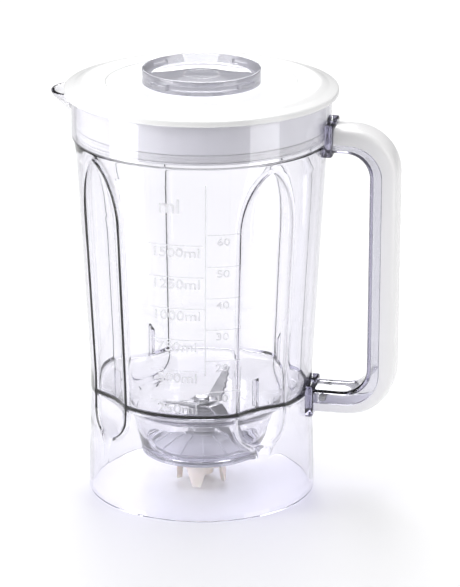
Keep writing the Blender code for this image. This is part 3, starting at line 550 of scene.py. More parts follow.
def flute_bead(angle, z):
    """Height of the fine rounded bead that runs along a flute's outline."""
    off = (angle % (TAU / 4)) - TAU / 8
    here = Vector((abs(off) * wall_radius(z), z))
    if here.x > 0.020 or z < FLUTE_LOW_Z - 0.003 or z > FLUTE_TOP_Z + 0.003:
        return 0.0
    away = 1.0
    for start, end in zip(OUTLINE, OUTLINE[1:]):
        if end.y > z - 0.003 and start.y < z + 0.003:
            run = end - start
            share = min(1.0, max(0.0, (here - start).dot(run) / run.length_squared))
            away = min(away, (start + run * share - here).length)
    return FLUTE_BEAD * math.exp(-(away / FLUTE_BEAD_R) ** 2)


def spout_bulge(angle, z, shrink, wall):
    """How far the spout stands out past a wall radius, at an angle round the jug and a height."""
    if z < SPOUT_LOW_Z - 0.002:
        return 0.0
    off = angle - math.pi
    centre = SPOUT_REACH - SPOUT_R
    share = min(1.0, (z - SPOUT_LOW_Z) / (RIM_Z - SPOUT_DROP - SPOUT_LOW_Z))
    nose = mix(SPOUT_LOW_R, SPOUT_R, share) - shrink
    under = nose ** 2 - (centre * math.sin(off)) ** 2
    if nose <= 0 or under <= 0 or math.cos(off) <= 0:
        return 0.0
    out = centre * math.cos(off) + math.sqrt(under) - wall
    soft = 0.0005
    return ease(out / 0.002 + 1) * (out + math.sqrt(out ** 2 + 4 * soft ** 2)) / 2


def dense(points, closed=True):
    """Adds points along the wall, close together where flutes, spout or collar change it."""
    out = []
    count = len(points)
    for i in range(count if closed else count - 1):
        (r0, z0), (r1, z1) = points[i], points[(i + 1) % count]
        out.append((r0, z0))
        length = math.hypot(r1 - r0, z1 - z0)
        if abs(z1 - z0) < 0.004 and length < 0.010:
            continue
        at = 0.0
        while True:
            z = mix(z0, z1, at)
            step = 0.0085
            if z > BAND_Z - 0.0005:
                step = 0.0022
            elif r0 > 0.060 and (0.0405 < z < 0.0475 or 0.2010 < z < 0.2125):
                step = 0.0007
            elif r0 > 0.060 and (0.0405 < z < 0.0595 or 0.1735 < z < 0.2125):
                step = 0.0016
            at += step / length
            if at > 1 - 0.45 * step / length:
                break
            out.append((mix(r0, r1, at), mix(z0, z1, at)))
    return out


def jug_section():
    """Section of the whole moulding: wall, rim, floor, bowl, seat, underside and skirt."""
    inner = -WALL
    corners = [
        (FOOT_R, 0.0, 0.0007), (WAIST_R, WAIST_LOW_Z, 0.02), (WAIST_R, WAIST_HIGH_Z, 0.02),
        (SHOULDER_R, SHOULDER_Z, 0.01), (COLLAR_R, COLLAR_Z, 0.0006),
        (COLLAR_R - 0.0004, BAND_Z - 0.0007, 0.0002), (BAND_R, BAND_Z, 0.0005), (BAND_R, RIM_Z, 0.0007),
        (BAND_R + inner, RIM_Z, 0.0007),
        (BAND_R + inner, BAND_Z + 0.0002, 0.0008), (COLLAR_R + inner, COLLAR_Z, 0.0012),
        (SHOULDER_R + inner, SHOULDER_Z, 0.01), (WAIST_R + inner, WAIST_HIGH_Z, 0.02),
        (WAIST_R + inner, FLOOR_Z, 0.0010), (BOWL_TOP_R + 0.0038, BOWL_TOP_Z + 0.0040, 0.0050),
        (BOWL_TOP_R, BOWL_TOP_Z - 0.0030, 0.0050), (BOWL_LOW_R, LIP_TOP_Z, 0.0009),
        (LIP_R, LIP_TOP_Z, 0.0005), (LIP_R, LIP_LOW_Z, 0.0004),
        (SEAT_R, LIP_LOW_Z, 0.0002), (SEAT_R, SEAT_LOW_Z, 0.0004),
        (SEAT_R + BOWL_WALL, SEAT_LOW_Z, 0.0005), (BOWL_LOW_R + BOWL_WALL, LIP_TOP_Z, 0.002),
        (BOWL_TOP_R + BOWL_WALL, BOWL_TOP_Z - 0.0030, 0.0050),
        (BOWL_TOP_R + 0.0058, BOWL_TOP_Z + 0.0020, 0.0040),
        (WAIST_R + inner, FLOOR_Z - FLOOR_T, 0.0008), (WAIST_R + inner, WAIST_LOW_Z, 0.004),
        (FOOT_R + inner, 0.0, 0.0007)]
    return dense(rounded(corners, 3))


def make_jug(clear):
    """The clear moulding: a turned section whose wall is pressed in at the flutes and out at the spout."""
    section = jug_section()
    jug = spun(section, JUG_COLUMNS)
    band_in = BAND_R - WALL
    for vertex in jug.data.vertices:
        x, y, z = vertex.co.x - AX, vertex.co.y, vertex.co.z
        radius = math.hypot(x, y)
        angle = column_angle(math.atan2(y, x) % TAU, z)
        plain = wall_radius(z)
        if z < BAND_Z:
            weight = ease((radius - 0.046) / (plain - WALL - 0.0015 - 0.046))
            outside = radius > plain - WALL / 2
            move = -weight * flute_depth(angle, z, FLUTE_EDGE if outside else 5 * FLUTE_EDGE)
            if outside:
                move += flute_bead(angle, z)
        else:
            outside = radius > band_in + WALL / 2
            wall = BAND_R if outside else band_in
            out = spout_bulge(angle, min(z, RIM_Z), 0.0 if outside else SPOUT_WALL, wall)
            move = out * ease((z - SPOUT_LOW_Z + 0.002) / 0.002)
            vertex.co.z -= SPOUT_DROP * ease(out / 0.006) * ease((z - SPOUT_LOW_Z) / (RIM_Z - SPOUT_LOW_Z))
        radius += move
        vertex.co.x = AX + radius * math.cos(angle)
        vertex.co.y = radius * math.sin(angle)
    smooth(jug, 40)
    return add(jug, "jug_moulding", "jug", clear, "clear_plastic", "jug")


def make_fins(clear):
    """Upright fins at the foot of the flutes, inside the jug."""
    fins = []
    for k in range(4):
        root = AX + wall_radius(WAIST_HIGH_Z) - WALL - flute_depth(TAU / 8, WAIST_HIGH_Z) + 0.0001
        fin = box((root - 0.0048, -0.0010, FLOOR_Z - 0.0004), (root, 0.0010, 0.0800))
        for vertex in fin.data.vertices:
            vertex.co.x -= AX
            if vertex.co.z > 0.07 and vertex.co.x > 0.055:
                vertex.co.z += 0.0030
        bevel(fin, 0.0006, 3, 30)
        turned_about_axis(fin, 45 + 90 * k)
        fins.append(fin)
    piece = join(*fins)
    smooth(piece)
    return add(piece, "floor_fins", "jug", clear, "clear_plastic")


def on_wall(thing, azimuth, lift):
    """Bend a mesh drawn flat in x, z at y = 0 onto the front of the wall at an azimuth, -Y being 0."""
    for vertex in thing.data.vertices:
        x, y, z = vertex.co
        radius = wall_radius(z) + lift - y
        angle = math.radians(azimuth) + x / wall_radius(z)
        vertex.co = (AX + radius * math.sin(angle), -radius * math.cos(angle), z)


def words(text, size, azimuth, z, stretch):
    """Raised digits on the wall."""
    none_selected()
    bpy.ops.object.text_add(rotation=(math.radians(90), 0, 0))
    thing = bpy.context.object
    thing.data.body = text
    thing.data.size = size
    thing.data.align_x = "CENTER"
    thing.data.align_y = "CENTER"
    thing.data.extrude = 0.0002
    thing.data.offset = size * 0.012
    only(thing)
    bpy.ops.object.convert(target="MESH")
    thing = bpy.context.object
    settle(thing)
    for vertex in thing.data.vertices:
        vertex.co.x *= stretch
        vertex.co.z += z
    on_wall(thing, azimuth, 0.00002)
    return thing


def stroke(x0, x1, z0, z1, azimuth):
    """A raised straight mark on the wall."""
    none_selected()
    bpy.ops.mesh.primitive_cube_add(size=1, location=((x0 + x1) / 2, 0, (z0 + z1) / 2),
                                    scale=(x1 - x0, 0.00025, z1 - z0))
    thing = bpy.context.object
    settle(thing)
    edit(thing, "EDGE")
    done()
    for edge in thing.data.edges:
        ends = [thing.data.vertices[i].co.x for i in edge.vertices]
        edge.select = abs(ends[0] - ends[1]) > 0.5 * (x1 - x0)
    bpy.ops.object.mode_set(mode="EDIT")
    bpy.ops.mesh.subdivide(number_cuts=max(1, round((x1 - x0) / 0.0015)))
    done()
    on_wall(thing, azimuth, 0.00002)
    return thing


SCALE_STEP = 0.0191                    # height of 250 ml
SCALE_FIRST_Z = 0.0735
SCALE_MARKS = 6
SIDE_MARK_LIFT = SCALE_STEP * 0.32     # the second column's marks stand higher


def make_scale(frost):
    """The moulded scale on the front: levels every 250 ml with finer ones beside them."""
    marks = []
    digits = []
    for k in range(SCALE_MARKS):
        z = SCALE_FIRST_Z + SCALE_STEP * k
        side_z = z + SIDE_MARK_LIFT
        marks.append(stroke(-0.0160, 0.0160, z - 0.00022, z + 0.00022, 0.0))
        marks.append(stroke(-0.0100, 0.0100, side_z, side_z + 0.0004, 22.8))
        digits.append(words(f"{250 * (k + 1)}ml", 0.0080, -0.2, z - 0.0046, 1.2))
        digits.append(words(str(10 * (k + 1)), 0.0060, 22.2, side_z - 0.0042, 1.3))
    marks.append(stroke(-0.0004, 0.0004, 0.0900, 0.2050, 13.9))
    digits.append(words("ml", 0.0120, -2.6, 0.1918, 1.1))
    for name, parts in (("scale_lines", marks), ("scale_digits", digits)):
        piece = join(*parts)
        tidy(piece, 1e-7)
        add(piece, name, "jug", frost, "clear_plastic")


# ---------------------------------------------------------------- lid
LID_T = 0.0022
LID_WELL_Z = RIM_Z + 0.0058
LID_PLATEAU_Z = RIM_Z + 0.0070
LID_EDGE_Z = RIM_Z + 0.0036
LID_WELL_R = LID_R - 0.0245
LID_HOLE_R = 0.0324
NECK_LOW_Z = RIM_Z - 0.0008            # foot of the neck round the filler hole
SKIRT_R = BAND_R - WALL - 0.0009
SKIRT_T = 0.0024
SKIRT_LOW_Z = BAND_Z + 0.0013


def make_lid(white):
    """Lid: rim, slope, plateau, shallow well, neck and plug skirt with its seal groove."""
    groove_r = SKIRT_R - 0.0012
    groove_high = seal_high.z + GAP
    groove_low = seal_low.z - GAP
    low = RIM_Z + GAP
    corners = [
        (LID_HOLE_R, LID_WELL_Z, 0.0006), (LID_WELL_R, LID_WELL_Z, 0.0008),
        (LID_WELL_R + 0.0010, LID_PLATEAU_Z, 0.0008), (LID_R - 0.0095, LID_PLATEAU_Z - 0.0003, 0.012),
        (LID_R - 0.0055, LID_EDGE_Z + 0.0013, 0.006), (LID_R, LID_EDGE_Z, 0.0016), (LID_R, low, 0.0006),
        (SKIRT_R, low, 0.0002), (SKIRT_R, groove_high, 0.0003), (groove_r, groove_high, 0.0002),
        (groove_r, groove_low, 0.0002), (SKIRT_R, groove_low, 0.0003), (SKIRT_R, SKIRT_LOW_Z, 0.0006),
        (SKIRT_R - SKIRT_T, SKIRT_LOW_Z, 0.0006), (SKIRT_R - SKIRT_T, LID_EDGE_Z - LID_T, 0.001),
        (LID_R - 0.0223, LID_PLATEAU_Z - LID_T, 0.002), (LID_WELL_R, LID_WELL_Z - LID_T, 0.001),
        (LID_HOLE_R + LID_T, LID_WELL_Z - LID_T, 0.0006), (LID_HOLE_R + LID_T, NECK_LOW_Z, 0.0005),
        (LID_HOLE_R, NECK_LOW_Z, 0.0005)]
    lid = spun(rounded(corners, 4), 192)
    smooth(lid, 35)
    return add(lid, "lid_shell", "lid", white, "white_plastic", "lid")


def make_lid_seal(seal):
    """Two-lipped seal in the skirt's groove."""
    waist = seal_high.y - 0.0005
    inner = SKIRT_R - 0.0009
    middle = (seal_low.z + seal_high.z) / 2
    lip_r = seal_high.y
    corners = [
        (waist, seal_high.z, 0.0002), (lip_r, mix(seal_high.z, middle, 0.5), 0.0003),
        (waist, middle, 0.0003), (lip_r, mix(seal_low.z, middle, 0.5), 0.0003),
        (waist, seal_low.z, 0.0002), (inner, seal_low.z, 0.0002), (inner, seal_high.z, 0.0002)]
    piece = spun(rounded(corners, 3), 192)
    smooth(piece)
    return add(piece, "lid_seal_ring", "lid", seal, "white_seal", "lid_seal")


CAP_R = LID_HOLE_R + 0.0020
CAP_SPIGOT_R = LID_HOLE_R - 0.0004
CAP_TOP_Z = cap_high.z
CAP_DISH_R = CAP_R - 0.0052
CAP_DISH_Z = CAP_TOP_Z - 0.0040
CAP_WALL = 0.0020
LUG_REACH = 0.0024
LUG_HALF = 0.0065


def make_cap(clear):
    """Filler cap: clear dish with a wide sloping rim, a spigot, four lugs and moulded rings."""
    foot = LID_WELL_Z + GAP
    under = CAP_DISH_Z - CAP_WALL
    corners = [
        (0.0001, CAP_DISH_Z, 0), (0.0100, CAP_DISH_Z, 0), (0.0102, CAP_DISH_Z + 0.0002, 0.0001),
        (0.0106, CAP_DISH_Z + 0.0002, 0.0001), (0.0108, CAP_DISH_Z, 0), (CAP_DISH_R, CAP_DISH_Z, 0.0005),
        (CAP_R - 0.0010, CAP_TOP_Z, 0.0004), (CAP_R, CAP_TOP_Z, 0.0006), (CAP_R, foot, 0.0004),
        (CAP_SPIGOT_R, foot, 0.0002), (CAP_SPIGOT_R, cap_low.z, 0.0004),
        (CAP_SPIGOT_R - CAP_WALL, cap_low.z, 0.0004), (CAP_SPIGOT_R - CAP_WALL, under, 0.0012),
        (0.0001, under, 0)]
    cap = solid_turn(corners, 160, 4)
    smooth(cap, 35)
    for azimuth in (59, 149, 239, 329):
        lug = box((CAP_R - 0.0008, -LUG_HALF, LID_WELL_Z + 0.0022),
                  (CAP_R + LUG_REACH, LUG_HALF, LID_WELL_Z + 0.0057))
        for vertex in lug.data.vertices:
            if vertex.co.x > CAP_R:
                vertex.co.y *= 0.92
        bevel(lug, 0.0005, 3, 30)
        turned_about_axis(lug, azimuth)
        boolean(cap, lug, "UNION")
    tidy(cap)
    smooth(cap, 30)
    return add(cap, "filler_cup", "filler_cap", clear, "clear_plastic", "filler_cap")


# ---------------------------------------------------------------- handle
GRIP_OUT_X = cover_high.x - AX
HANDLE_HALF = cover_high.y
HANDLE_WALL = 0.0022
ARM_TOP_OUT_Z = RIM_Z - 0.0150
ARM_LOW_OUT_Z = WAIST_LOW_Z - 0.0075
COVER_DEPTH = 0.0087
CHANNEL_DEPTH = 0.0072
ARM_TOP_DEPTH = 0.0143
ARM_LOW_DEPTH = 0.0140
# a handle line: grip's x, upper arm's z, lower arm's z, corner radius
OUT_RAIL = (GRIP_OUT_X, ARM_TOP_OUT_Z, ARM_LOW_OUT_Z, 0.0275)
SPLIT_RAIL = (GRIP_OUT_X - COVER_DEPTH, ARM_TOP_OUT_Z - 0.0097, ARM_LOW_OUT_Z + 0.0060, 0.0195)
IN_RAIL = (GRIP_OUT_X - 0.0159, ARM_TOP_OUT_Z - ARM_TOP_DEPTH, ARM_LOW_OUT_Z + ARM_LOW_DEPTH, 0.0143)
FLANGE_T = 0.0034
FLANGE_RIM = 0.0025
FLANGE_HALF = 0.0130
TOP_X = BAND_R + GAP + FLANGE_T
LOW_X = WAIST_R + GAP + FLANGE_T


def shifted(line, by):
    """A handle line moved outwards all round by a distance."""
    grip, top, low, corner = line
    return grip + by, top + by, low - by, corner + by


def rail(line, top_x, low_x):
    """Stations (x, z) along a handle line: upper arm, corner, grip, corner, lower arm."""
    grip, top, low, corner = line
    points = []
    corner_x = grip - corner
    for k in range(9):
        points.append((mix(top_x, corner_x, k / 9), top))
    for k in range(17):
        angle = math.radians(90 - 90 * k / 16)
        points.append((corner_x + corner * math.cos(angle), top - corner + corner * math.sin(angle)))
    for k in range(1, 24):
        points.append((grip, mix(top - corner, low + corner, k / 24)))
    for k in range(17):
        angle = math.radians(-90 * k / 16)
        points.append((corner_x + corner * math.cos(angle), low + corner + corner * math.sin(angle)))
    for k in range(1, 10):
        points.append((mix(corner_x, low_x, k / 9), low))
    return points


def swept(lines, section):
    """A piece swept along the handle. Each section point is (share from line 0 to line 1, y)."""
    near, far = lines
    none_selected()
    bpy.ops.mesh.primitive_cylinder_add(vertices=len(section), radius=0.01, depth=0.01, end_fill_type="NGON")
    thing = bpy.context.object
    count = len(near)
    edit(thing, "FACE")
    done()
    top_face = max(thing.data.polygons, key=lambda face: face.center.z)
    top_face.select = True
    bpy.ops.object.mode_set(mode="EDIT")
    for _ in range(count - 2):
        bpy.ops.mesh.extrude_region_move(TRANSFORM_OT_translate={"value": (0, 0, 0.01)})
    done()
    size = len(section)
    heights = sorted({round(v.co.z, 4) for v in thing.data.vertices})
    level = {z: i for i, z in enumerate(heights)}
    for vertex in thing.data.vertices:
        i = level[round(vertex.co.z, 4)]
        turn = math.atan2(vertex.co.x, vertex.co.y) % TAU
        share, y = section[round(turn / TAU * size) % size]
        (x0, z0), (x1, z1) = near[i], far[i]
        vertex.co = (AX + mix(x0, x1, share), y, mix(z0, z1, share))
    tidy(thing, 1e-6)
    return thing


def make_cover(white):
    """White outer half of the handle: a channel open inwards with well rounded outer edges."""
    start_top = TOP_X + GAP
    start_low = LOW_X + GAP
    near = rail(shifted(SPLIT_RAIL, GAP / 2), start_top, start_low)
    far = rail(OUT_RAIL, start_top, start_low)
    half = HANDLE_HALF
    depth = COVER_DEPTH
    cheek = HANDLE_WALL + 0.0004
    back = (depth - HANDLE_WALL) / depth
    corners = [(0, -half, 0.0004), (depth, -half, 0.0052), (depth, half, 0.0052), (0, half, 0.0004),
               (0, half - cheek, 0.0003), (back * depth, half - cheek, 0.0028),
               (back * depth, -half + cheek, 0.0028), (0, -half + cheek, 0.0003)]
    section = [(x / depth, y) for x, y in rounded(corners, 6)]
    cover = swept((near, far), section)
    smooth(cover, 40)
    return add(cover, "grip_cover", "jug", white, "white_plastic", "handle_cover")


def make_channel(clear):
    """Clear inner half of the handle: a channel open outwards, and its root flanges."""
    near = rail(IN_RAIL, TOP_X - 0.0010, LOW_X - 0.0010)
    far = rail(shifted(SPLIT_RAIL, -GAP / 2), TOP_X - 0.0010, LOW_X - 0.0010)
    half = HANDLE_HALF
    depth = CHANNEL_DEPTH
    wall = HANDLE_WALL
    corners = [(0, -half, 0.0022), (0, half, 0.0022), (depth, half, 0.0003), (depth, half - wall, 0.0003),
               (wall, half - wall, 0.0008), (wall, -half + wall, 0.0008), (depth, -half + wall, 0.0003),
               (depth, -half, 0.0003)]
    section = [(x / depth, y) for x, y in rounded(corners, 4)]
    channel = swept((near, far), section)
    smooth(channel, 40)
    add(channel, "grip_channel", "jug", clear, "clear_plastic", "handle_frame")
    flanges = (("upper_root_flange", TOP_X, ARM_TOP_OUT_Z - ARM_TOP_DEPTH, ARM_TOP_OUT_Z),
               ("lower_root_flange", LOW_X, ARM_LOW_OUT_Z, ARM_LOW_OUT_Z + ARM_LOW_DEPTH))
    jug_wall = [(0.02, -0.01), (FOOT_R + GAP, -0.01), (FOOT_R + GAP, 0), (WAIST_R + GAP, WAIST_LOW_Z),
                (WAIST_R + GAP, WAIST_HIGH_Z), (SHOULDER_R + GAP, SHOULDER_Z), (COLLAR_R + GAP, COLLAR_Z),
                (BAND_R + GAP, BAND_Z), (BAND_R + GAP, 0.26), (0.02, 0.26)]
    for name, x, low, high in flanges:
        pad = box((AX + x - FLANGE_T - 0.006, -FLANGE_HALF, low - FLANGE_RIM),
                  (AX + x, FLANGE_HALF, high + FLANGE_RIM))
        bevel(pad, 0.0016, 4, 30)
        boolean(pad, spun(jug_wall, 256))
        smooth(pad, 30)
        add(pad, name, "jug", clear, "clear_plastic")


def make_pin(steel):
    """Cover pin with rounded ends."""
    radius = (pin_high.x - pin_low.x) / 2
    centre_x = (pin_high.x + pin_low.x) / 2
    z = (pin_high.z + pin_low.z) / 2
    pin = rod(radius, (centre_x, pin_low.y, z), (centre_x, pin_high.y, z))
    bevel(pin, 0.0005, 3, 40)
    smooth(pin)
    return add(pin, "pin", "jug", steel, "stainless_steel", "cover_pin")


# ---------------------------------------------------------------- blade unit
HUB_BORE_R = 0.0063
HUB_R = 0.0086
HUB_TOP_R = 0.0108
CARRIER_RIBS = 12
SHAFT_R = 0.0040
NOSE_R = 0.0030
SHAFT_BORE_R = SHAFT_R + GAP
NOSE_BORE_R = NOSE_R + GAP
BLADE_T = 0.0014
BLADE_WIDTH = 0.0110
BLADE_TIP = 0.0036
BLADE_SWEEP = LIP_R - 0.0006           # the blades still pass the jug's seat lip
BEND_R = 0.0110                        # where a wing leaves the flat middle


def make_carrier(smoke):
    """Grey bell with ribs on its shoulder, rings on its hub and a seat flange."""
    low = carrier_low.z
    top = carrier_high.z
    shoulder = top - 0.0017
    bell_r = LIP_R - 0.0007
    edge_r = (carrier_high.x - carrier_low.x) / 2
    flange_low = low + 0.0024
    flange_high = flange_low + 0.0018
    corners = [
        (HUB_BORE_R, top, 0.0003), (0.0080, top, 0.0002), (0.0080, top - 0.0004, 0.0001),
        (0.0090, top - 0.0004, 0.0001), (0.0090, top, 0.0002), (HUB_TOP_R, top, 0.0004),
        (HUB_TOP_R, shoulder, 0.0008), (0.0185, shoulder - 0.0022, 0.006),
        (bell_r, flange_high + 0.0006, 0.006), (bell_r, flange_high, 0.0004),
        (edge_r, flange_high, 0.0004), (edge_r, flange_low, 0.0004), (bell_r - 0.0010, flange_low, 0.0006),
        (0.0180, shoulder - 0.0052, 0.006), (0.0098, shoulder - 0.0028, 0.0010),
        (HUB_R, shoulder - 0.0032, 0.0006), (HUB_R, low, 0.0005), (HUB_BORE_R, low, 0.0003)]
    bell = spun(rounded(corners, 4), 144)
    smooth(bell, 35)
    add(bell, "carrier_bell", "carrier", smoke, "grey_clear_plastic", "blade_carrier")
    ribs = []
    for k in range(CARRIER_RIBS):
        rib = box((0.0120, -0.0006, 0), (0.0270, 0.0006, 0.0014))
        edit(rib)
        bpy.ops.mesh.select_all(action="SELECT")
        bpy.ops.mesh.subdivide(number_cuts=6)
        done()
        for vertex in rib.data.vertices:
            share = (vertex.co.x - HUB_TOP_R) / (bell_r - HUB_TOP_R)
            drop = mix(shoulder, flange_high + 0.0006, share) + 0.0012 * math.sin(math.pi * share)
            vertex.co.z = drop + vertex.co.z * 1.1 - 0.0004
        turned_about_axis(rib, (k + 0.5) * 360 / CARRIER_RIBS)
        ribs.append(rib)
    piece = join(*ribs)
    bevel(piece, 0.00018, 2, 40)
    smooth(piece)
    add(piece, "carrier_ribs", "carrier", smoke, "grey_clear_plastic")


def ring_piece(node, inner, edge, name, body, material, slot):
    """A fine ring in place of a plain CAD ring, with the bore as given."""
    low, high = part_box(node)
    outer = (high.y - low.y) / 2
    piece = ring(inner, outer, low.z, high.z, edge)
    smooth(piece)
    return add(piece, name, body, material, slot, node)


def blade_half_width(share):
    """Half the width of a wing, tapering from its bend (share 0) to its tip (share 1)."""
    return mix(BLADE_WIDTH, BLADE_TIP, share ** 1.25) / 2


def blade_strip(wings, low_z):
    """A blade drawn along x as a bent sheet. Each wing is (azimuth, bend in degrees, shortening)."""
    none_selected()
    order = [(-1, 0.0, 0, 0), (1, 0.0, 0, 0)]
    for side, (_, bend, inset) in zip((1, -1), wings):
        run = BLADE_SWEEP - inset - BEND_R
        for k in range(1, 9):
            order.append((side, k / 8, run, math.radians(bend)))
    order.sort(key=lambda s: s[0] * (BEND_R + s[1] * s[2]))
    columns = len(order)
    rows = 5
    bpy.ops.mesh.primitive_grid_add(x_subdivisions=columns - 1, y_subdivisions=rows - 1, size=1)
    thing = bpy.context.object
    for vertex in thing.data.vertices:
        i = round((vertex.co.x + 0.5) * (columns - 1))
        j = round((vertex.co.y + 0.5) * (rows - 1))
        side, share, run, bend = order[i]
        across = (j / (rows - 1) * 2 - 1) * blade_half_width(share)
        z = low_z + BLADE_T / 2 + share * run * math.tan(bend)
        vertex.co = (side * (BEND_R + share * run), across, z)
    return thing


def make_blade(name, node, wings, steel, teeth):
    """One stamped blade with ground edges, and teeth along its first wing."""
    low_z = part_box("blade_spacer")[1].z + GAP
    if node == "upper_blade":
        low_z += BLADE_T + GAP
    azimuth = wings[0][0]
    thing = blade_strip(wings, low_z)
    thick = thing.modifiers.new("thickness", "SOLIDIFY")
    thick.thickness = BLADE_T
    thick.offset = 0
    thick.use_even_offset = True
    apply_modifiers(thing)
    tidy(thing)
    turned_about_axis(thing, azimuth)
    boolean(thing, rod(NOSE_BORE_R, (AX, 0, low_z - 0.01), (AX, 0, low_z + 0.01), 40))
    for k in range(teeth):
        cut_tooth(thing, wings[0], k, teeth, low_z)
    bevel(thing, 0.00025, 2, 50)
    smooth(thing, 30)
    return add(thing, name, "blades", steel, "stainless_steel", node)


def cut_tooth(thing, wing, k, count, low_z):
    """Cuts one round notch into a wing's leading edge."""
    azimuth, bend, inset = wing
    lean = math.radians(bend)
    run = BLADE_SWEEP - inset - BEND_R
    share = (k + 0.75) / (count + 0.35)
    z = low_z + BLADE_T / 2 + share * run * math.tan(lean)
    axis = Vector((-math.sin(lean), 0, math.cos(lean)))
    centre = Vector((BEND_R + share * run, -blade_half_width(share) - 0.0006, z))
    turn = Matrix.Translation((AX, 0, 0)) @ Matrix.Rotation(math.radians(azimuth), 4, "Z")
    boolean(thing, rod(0.0016, turn @ (centre - axis * 0.003), turn @ (centre + axis * 0.003), 20))


def make_shaft(steel):
    """Drive shaft: nose, shoulder and clip groove, with chamfered ends."""
    low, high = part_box("drive_shaft")
    clip_low, clip_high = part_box("retaining_clip")
    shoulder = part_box("blade_spacer")[1].z
    groove_high = clip_high.z + GAP
    groove_low = clip_low.z - GAP
    groove_r = 0.0032
    corners = [(0.0001, high.z, 0), (NOSE_R, high.z, 0.0004), (NOSE_R, shoulder, 0.0001),
               (SHAFT_R, shoulder, 0.0003), (SHAFT_R, groove_high, 0.0001), (groove_r, groove_high, 0.0001),
               (groove_r, groove_low, 0.0001), (SHAFT_R, groove_low, 0.0001), (SHAFT_R, low.z, 0.0005),
               (0.0001, low.z, 0)]
    shaft = solid_turn(corners, 64, 3)
    smooth(shaft)
    return add(shaft, "shaft", "blades", steel, "stainless_steel", "drive_shaft")


def make_spacer(steel):
    """Turned collar under the blades, with two fine grooves."""
    low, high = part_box("blade_spacer")
    outer = high.y
    height = high.z - low.z
    corners = [(SHAFT_BORE_R, high.z, 0.0002), (outer - 0.0012, high.z, 0.0003),
               (outer, high.z - 0.0014, 0.0006)]
    for share in (0.62, 0.34):
        z = low.z + height * share
        corners += [(outer, z + 0.0005, 0.0001), (outer - 0.0004, z + 0.0003, 0.0001),
                    (outer - 0.0004, z - 0.0003, 0.0001), (outer, z - 0.0005, 0.0001)]
    corners += [(outer, low.z, 0.0004), (SHAFT_BORE_R, low.z, 0.0002)]
    piece = spun(rounded(corners, 3), 96)
    smooth(piece)
    return add(piece, "collar", "blades", steel, "stainless_steel", "blade_spacer")


def make_nut(steel):
    """Low domed hexagon nut."""
    low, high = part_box("blade_nut")
    reach = 0.0048
    crown = high.z - 0.0012
    corners = [(0.0001, high.z, 0), (reach - 0.0010, high.z, 0.0012), (reach, high.z - 0.0007, 0.0002),
               (reach, low.z, 0.0002), (NOSE_BORE_R, low.z, 0.0001), (NOSE_BORE_R, crown, 0.0002),
               (0.0001, crown, 0)]
    nut = solid_turn(corners, 48, 4)
    flats = rod(reach, (AX, 0, low.z - 0.01), (AX, 0, high.z + 0.01), 6)
    boolean(nut, flats, "INTERSECT")
    bevel(nut, 0.00015, 2, 40)
    smooth(nut)
    return add(nut, "nut", "blades", steel, "stainless_steel", "blade_nut")


def make_coupling(nylon):
    """Cream coupling: cup cut into four tapering claws, with a boss for the shaft."""
    low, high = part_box("drive_coupling")
    outer = (high.y - low.y) / 2
    inner = outer - 0.0030
    plate_low = high.z - 0.0035
    boss = 0.0073
    boss_low = 0.0065
    corners = [(0.0001, high.z, 0), (outer, high.z, 0.0010), (outer, low.z, 0.0005), (inner, low.z, 0.0005),
               (inner, plate_low, 0.0010), (boss, plate_low, 0.0008), (boss, boss_low, 0.0005),
               (0.0001, boss_low, 0)]
    cup = solid_turn(corners, 128, 4)
    boolean(cup, rod(SHAFT_BORE_R, (AX, 0, 0.0080), (AX, 0, high.z + 0.01), 48))
    slot_top = plate_low - 0.0006
    for k in range(4):
        corners = [(-0.0052, slot_top, 0.0014), (0.0052, slot_top, 0.0014), (0.0088, low.z - 0.001, 0),
                   (-0.0088, low.z - 0.001, 0)]
        slot = plate(rounded(corners, 4), boss + 0.001, outer + 0.004)
        upright = Matrix.Rotation(math.radians(90), 4, "Z") @ Matrix.Rotation(math.radians(90), 4, "X")
        slot.data.transform(upright)
        turned_about_axis(slot, 45 + 90 * k)
        boolean(cup, slot)
    tidy(cup)
    bevel(cup, 0.0003, 2, 40)
    smooth(cup, 30)
    return add(cup, "coupling", "blades", nylon, "cream_nylon", "drive_coupling")


# ---------------------------------------------------------------- light, floor and camera
def make_camera():
    """Long lens, standing a little right of the front and looking down on the jug."""
    distance = 1.8573
    azimuth = math.radians(12.1)
    height = 0.7309
    pitch = math.radians(18.27)
    yaw = azimuth - math.radians(0.515)
    roll = Matrix.Rotation(math.radians(0.15), 3, "Z").to_quaternion()
    place = (AX + distance * math.sin(azimuth), -distance * math.cos(azimuth), height)
    bpy.ops.object.camera_add(location=place)
    camera = bpy.context.object
    look = Vector((-math.sin(yaw) * math.cos(pitch), math.cos(yaw) * math.cos(pitch), -math.sin(pitch)))
    camera.rotation_mode = "QUATERNION"
    camera.rotation_quaternion = look.to_track_quat("-Z", "Y") @ roll
    camera.data.sensor_width = 36
    camera.data.lens = 204.3
    bpy.context.scene.camera = camera


def make_lamp(place, aim, width, height, power, turn=0):
    """A soft box that shines from a place towards a point."""
    none_selected()
    bpy.ops.object.light_add(type="AREA", location=place)
    lamp = bpy.context.object
    lamp.data.shape = "RECTANGLE"
    lamp.data.size = width
    lamp.data.size_y = height
    lamp.data.energy = power
    lamp.rotation_mode = "QUATERNION"
    facing = (Vector(aim) - Vector(place)).to_track_quat("-Z", "Y")
    lamp.rotation_quaternion = Matrix.Rotation(math.radians(turn), 3, "Z").to_quaternion() @ facing
    lamp.visible_camera = False


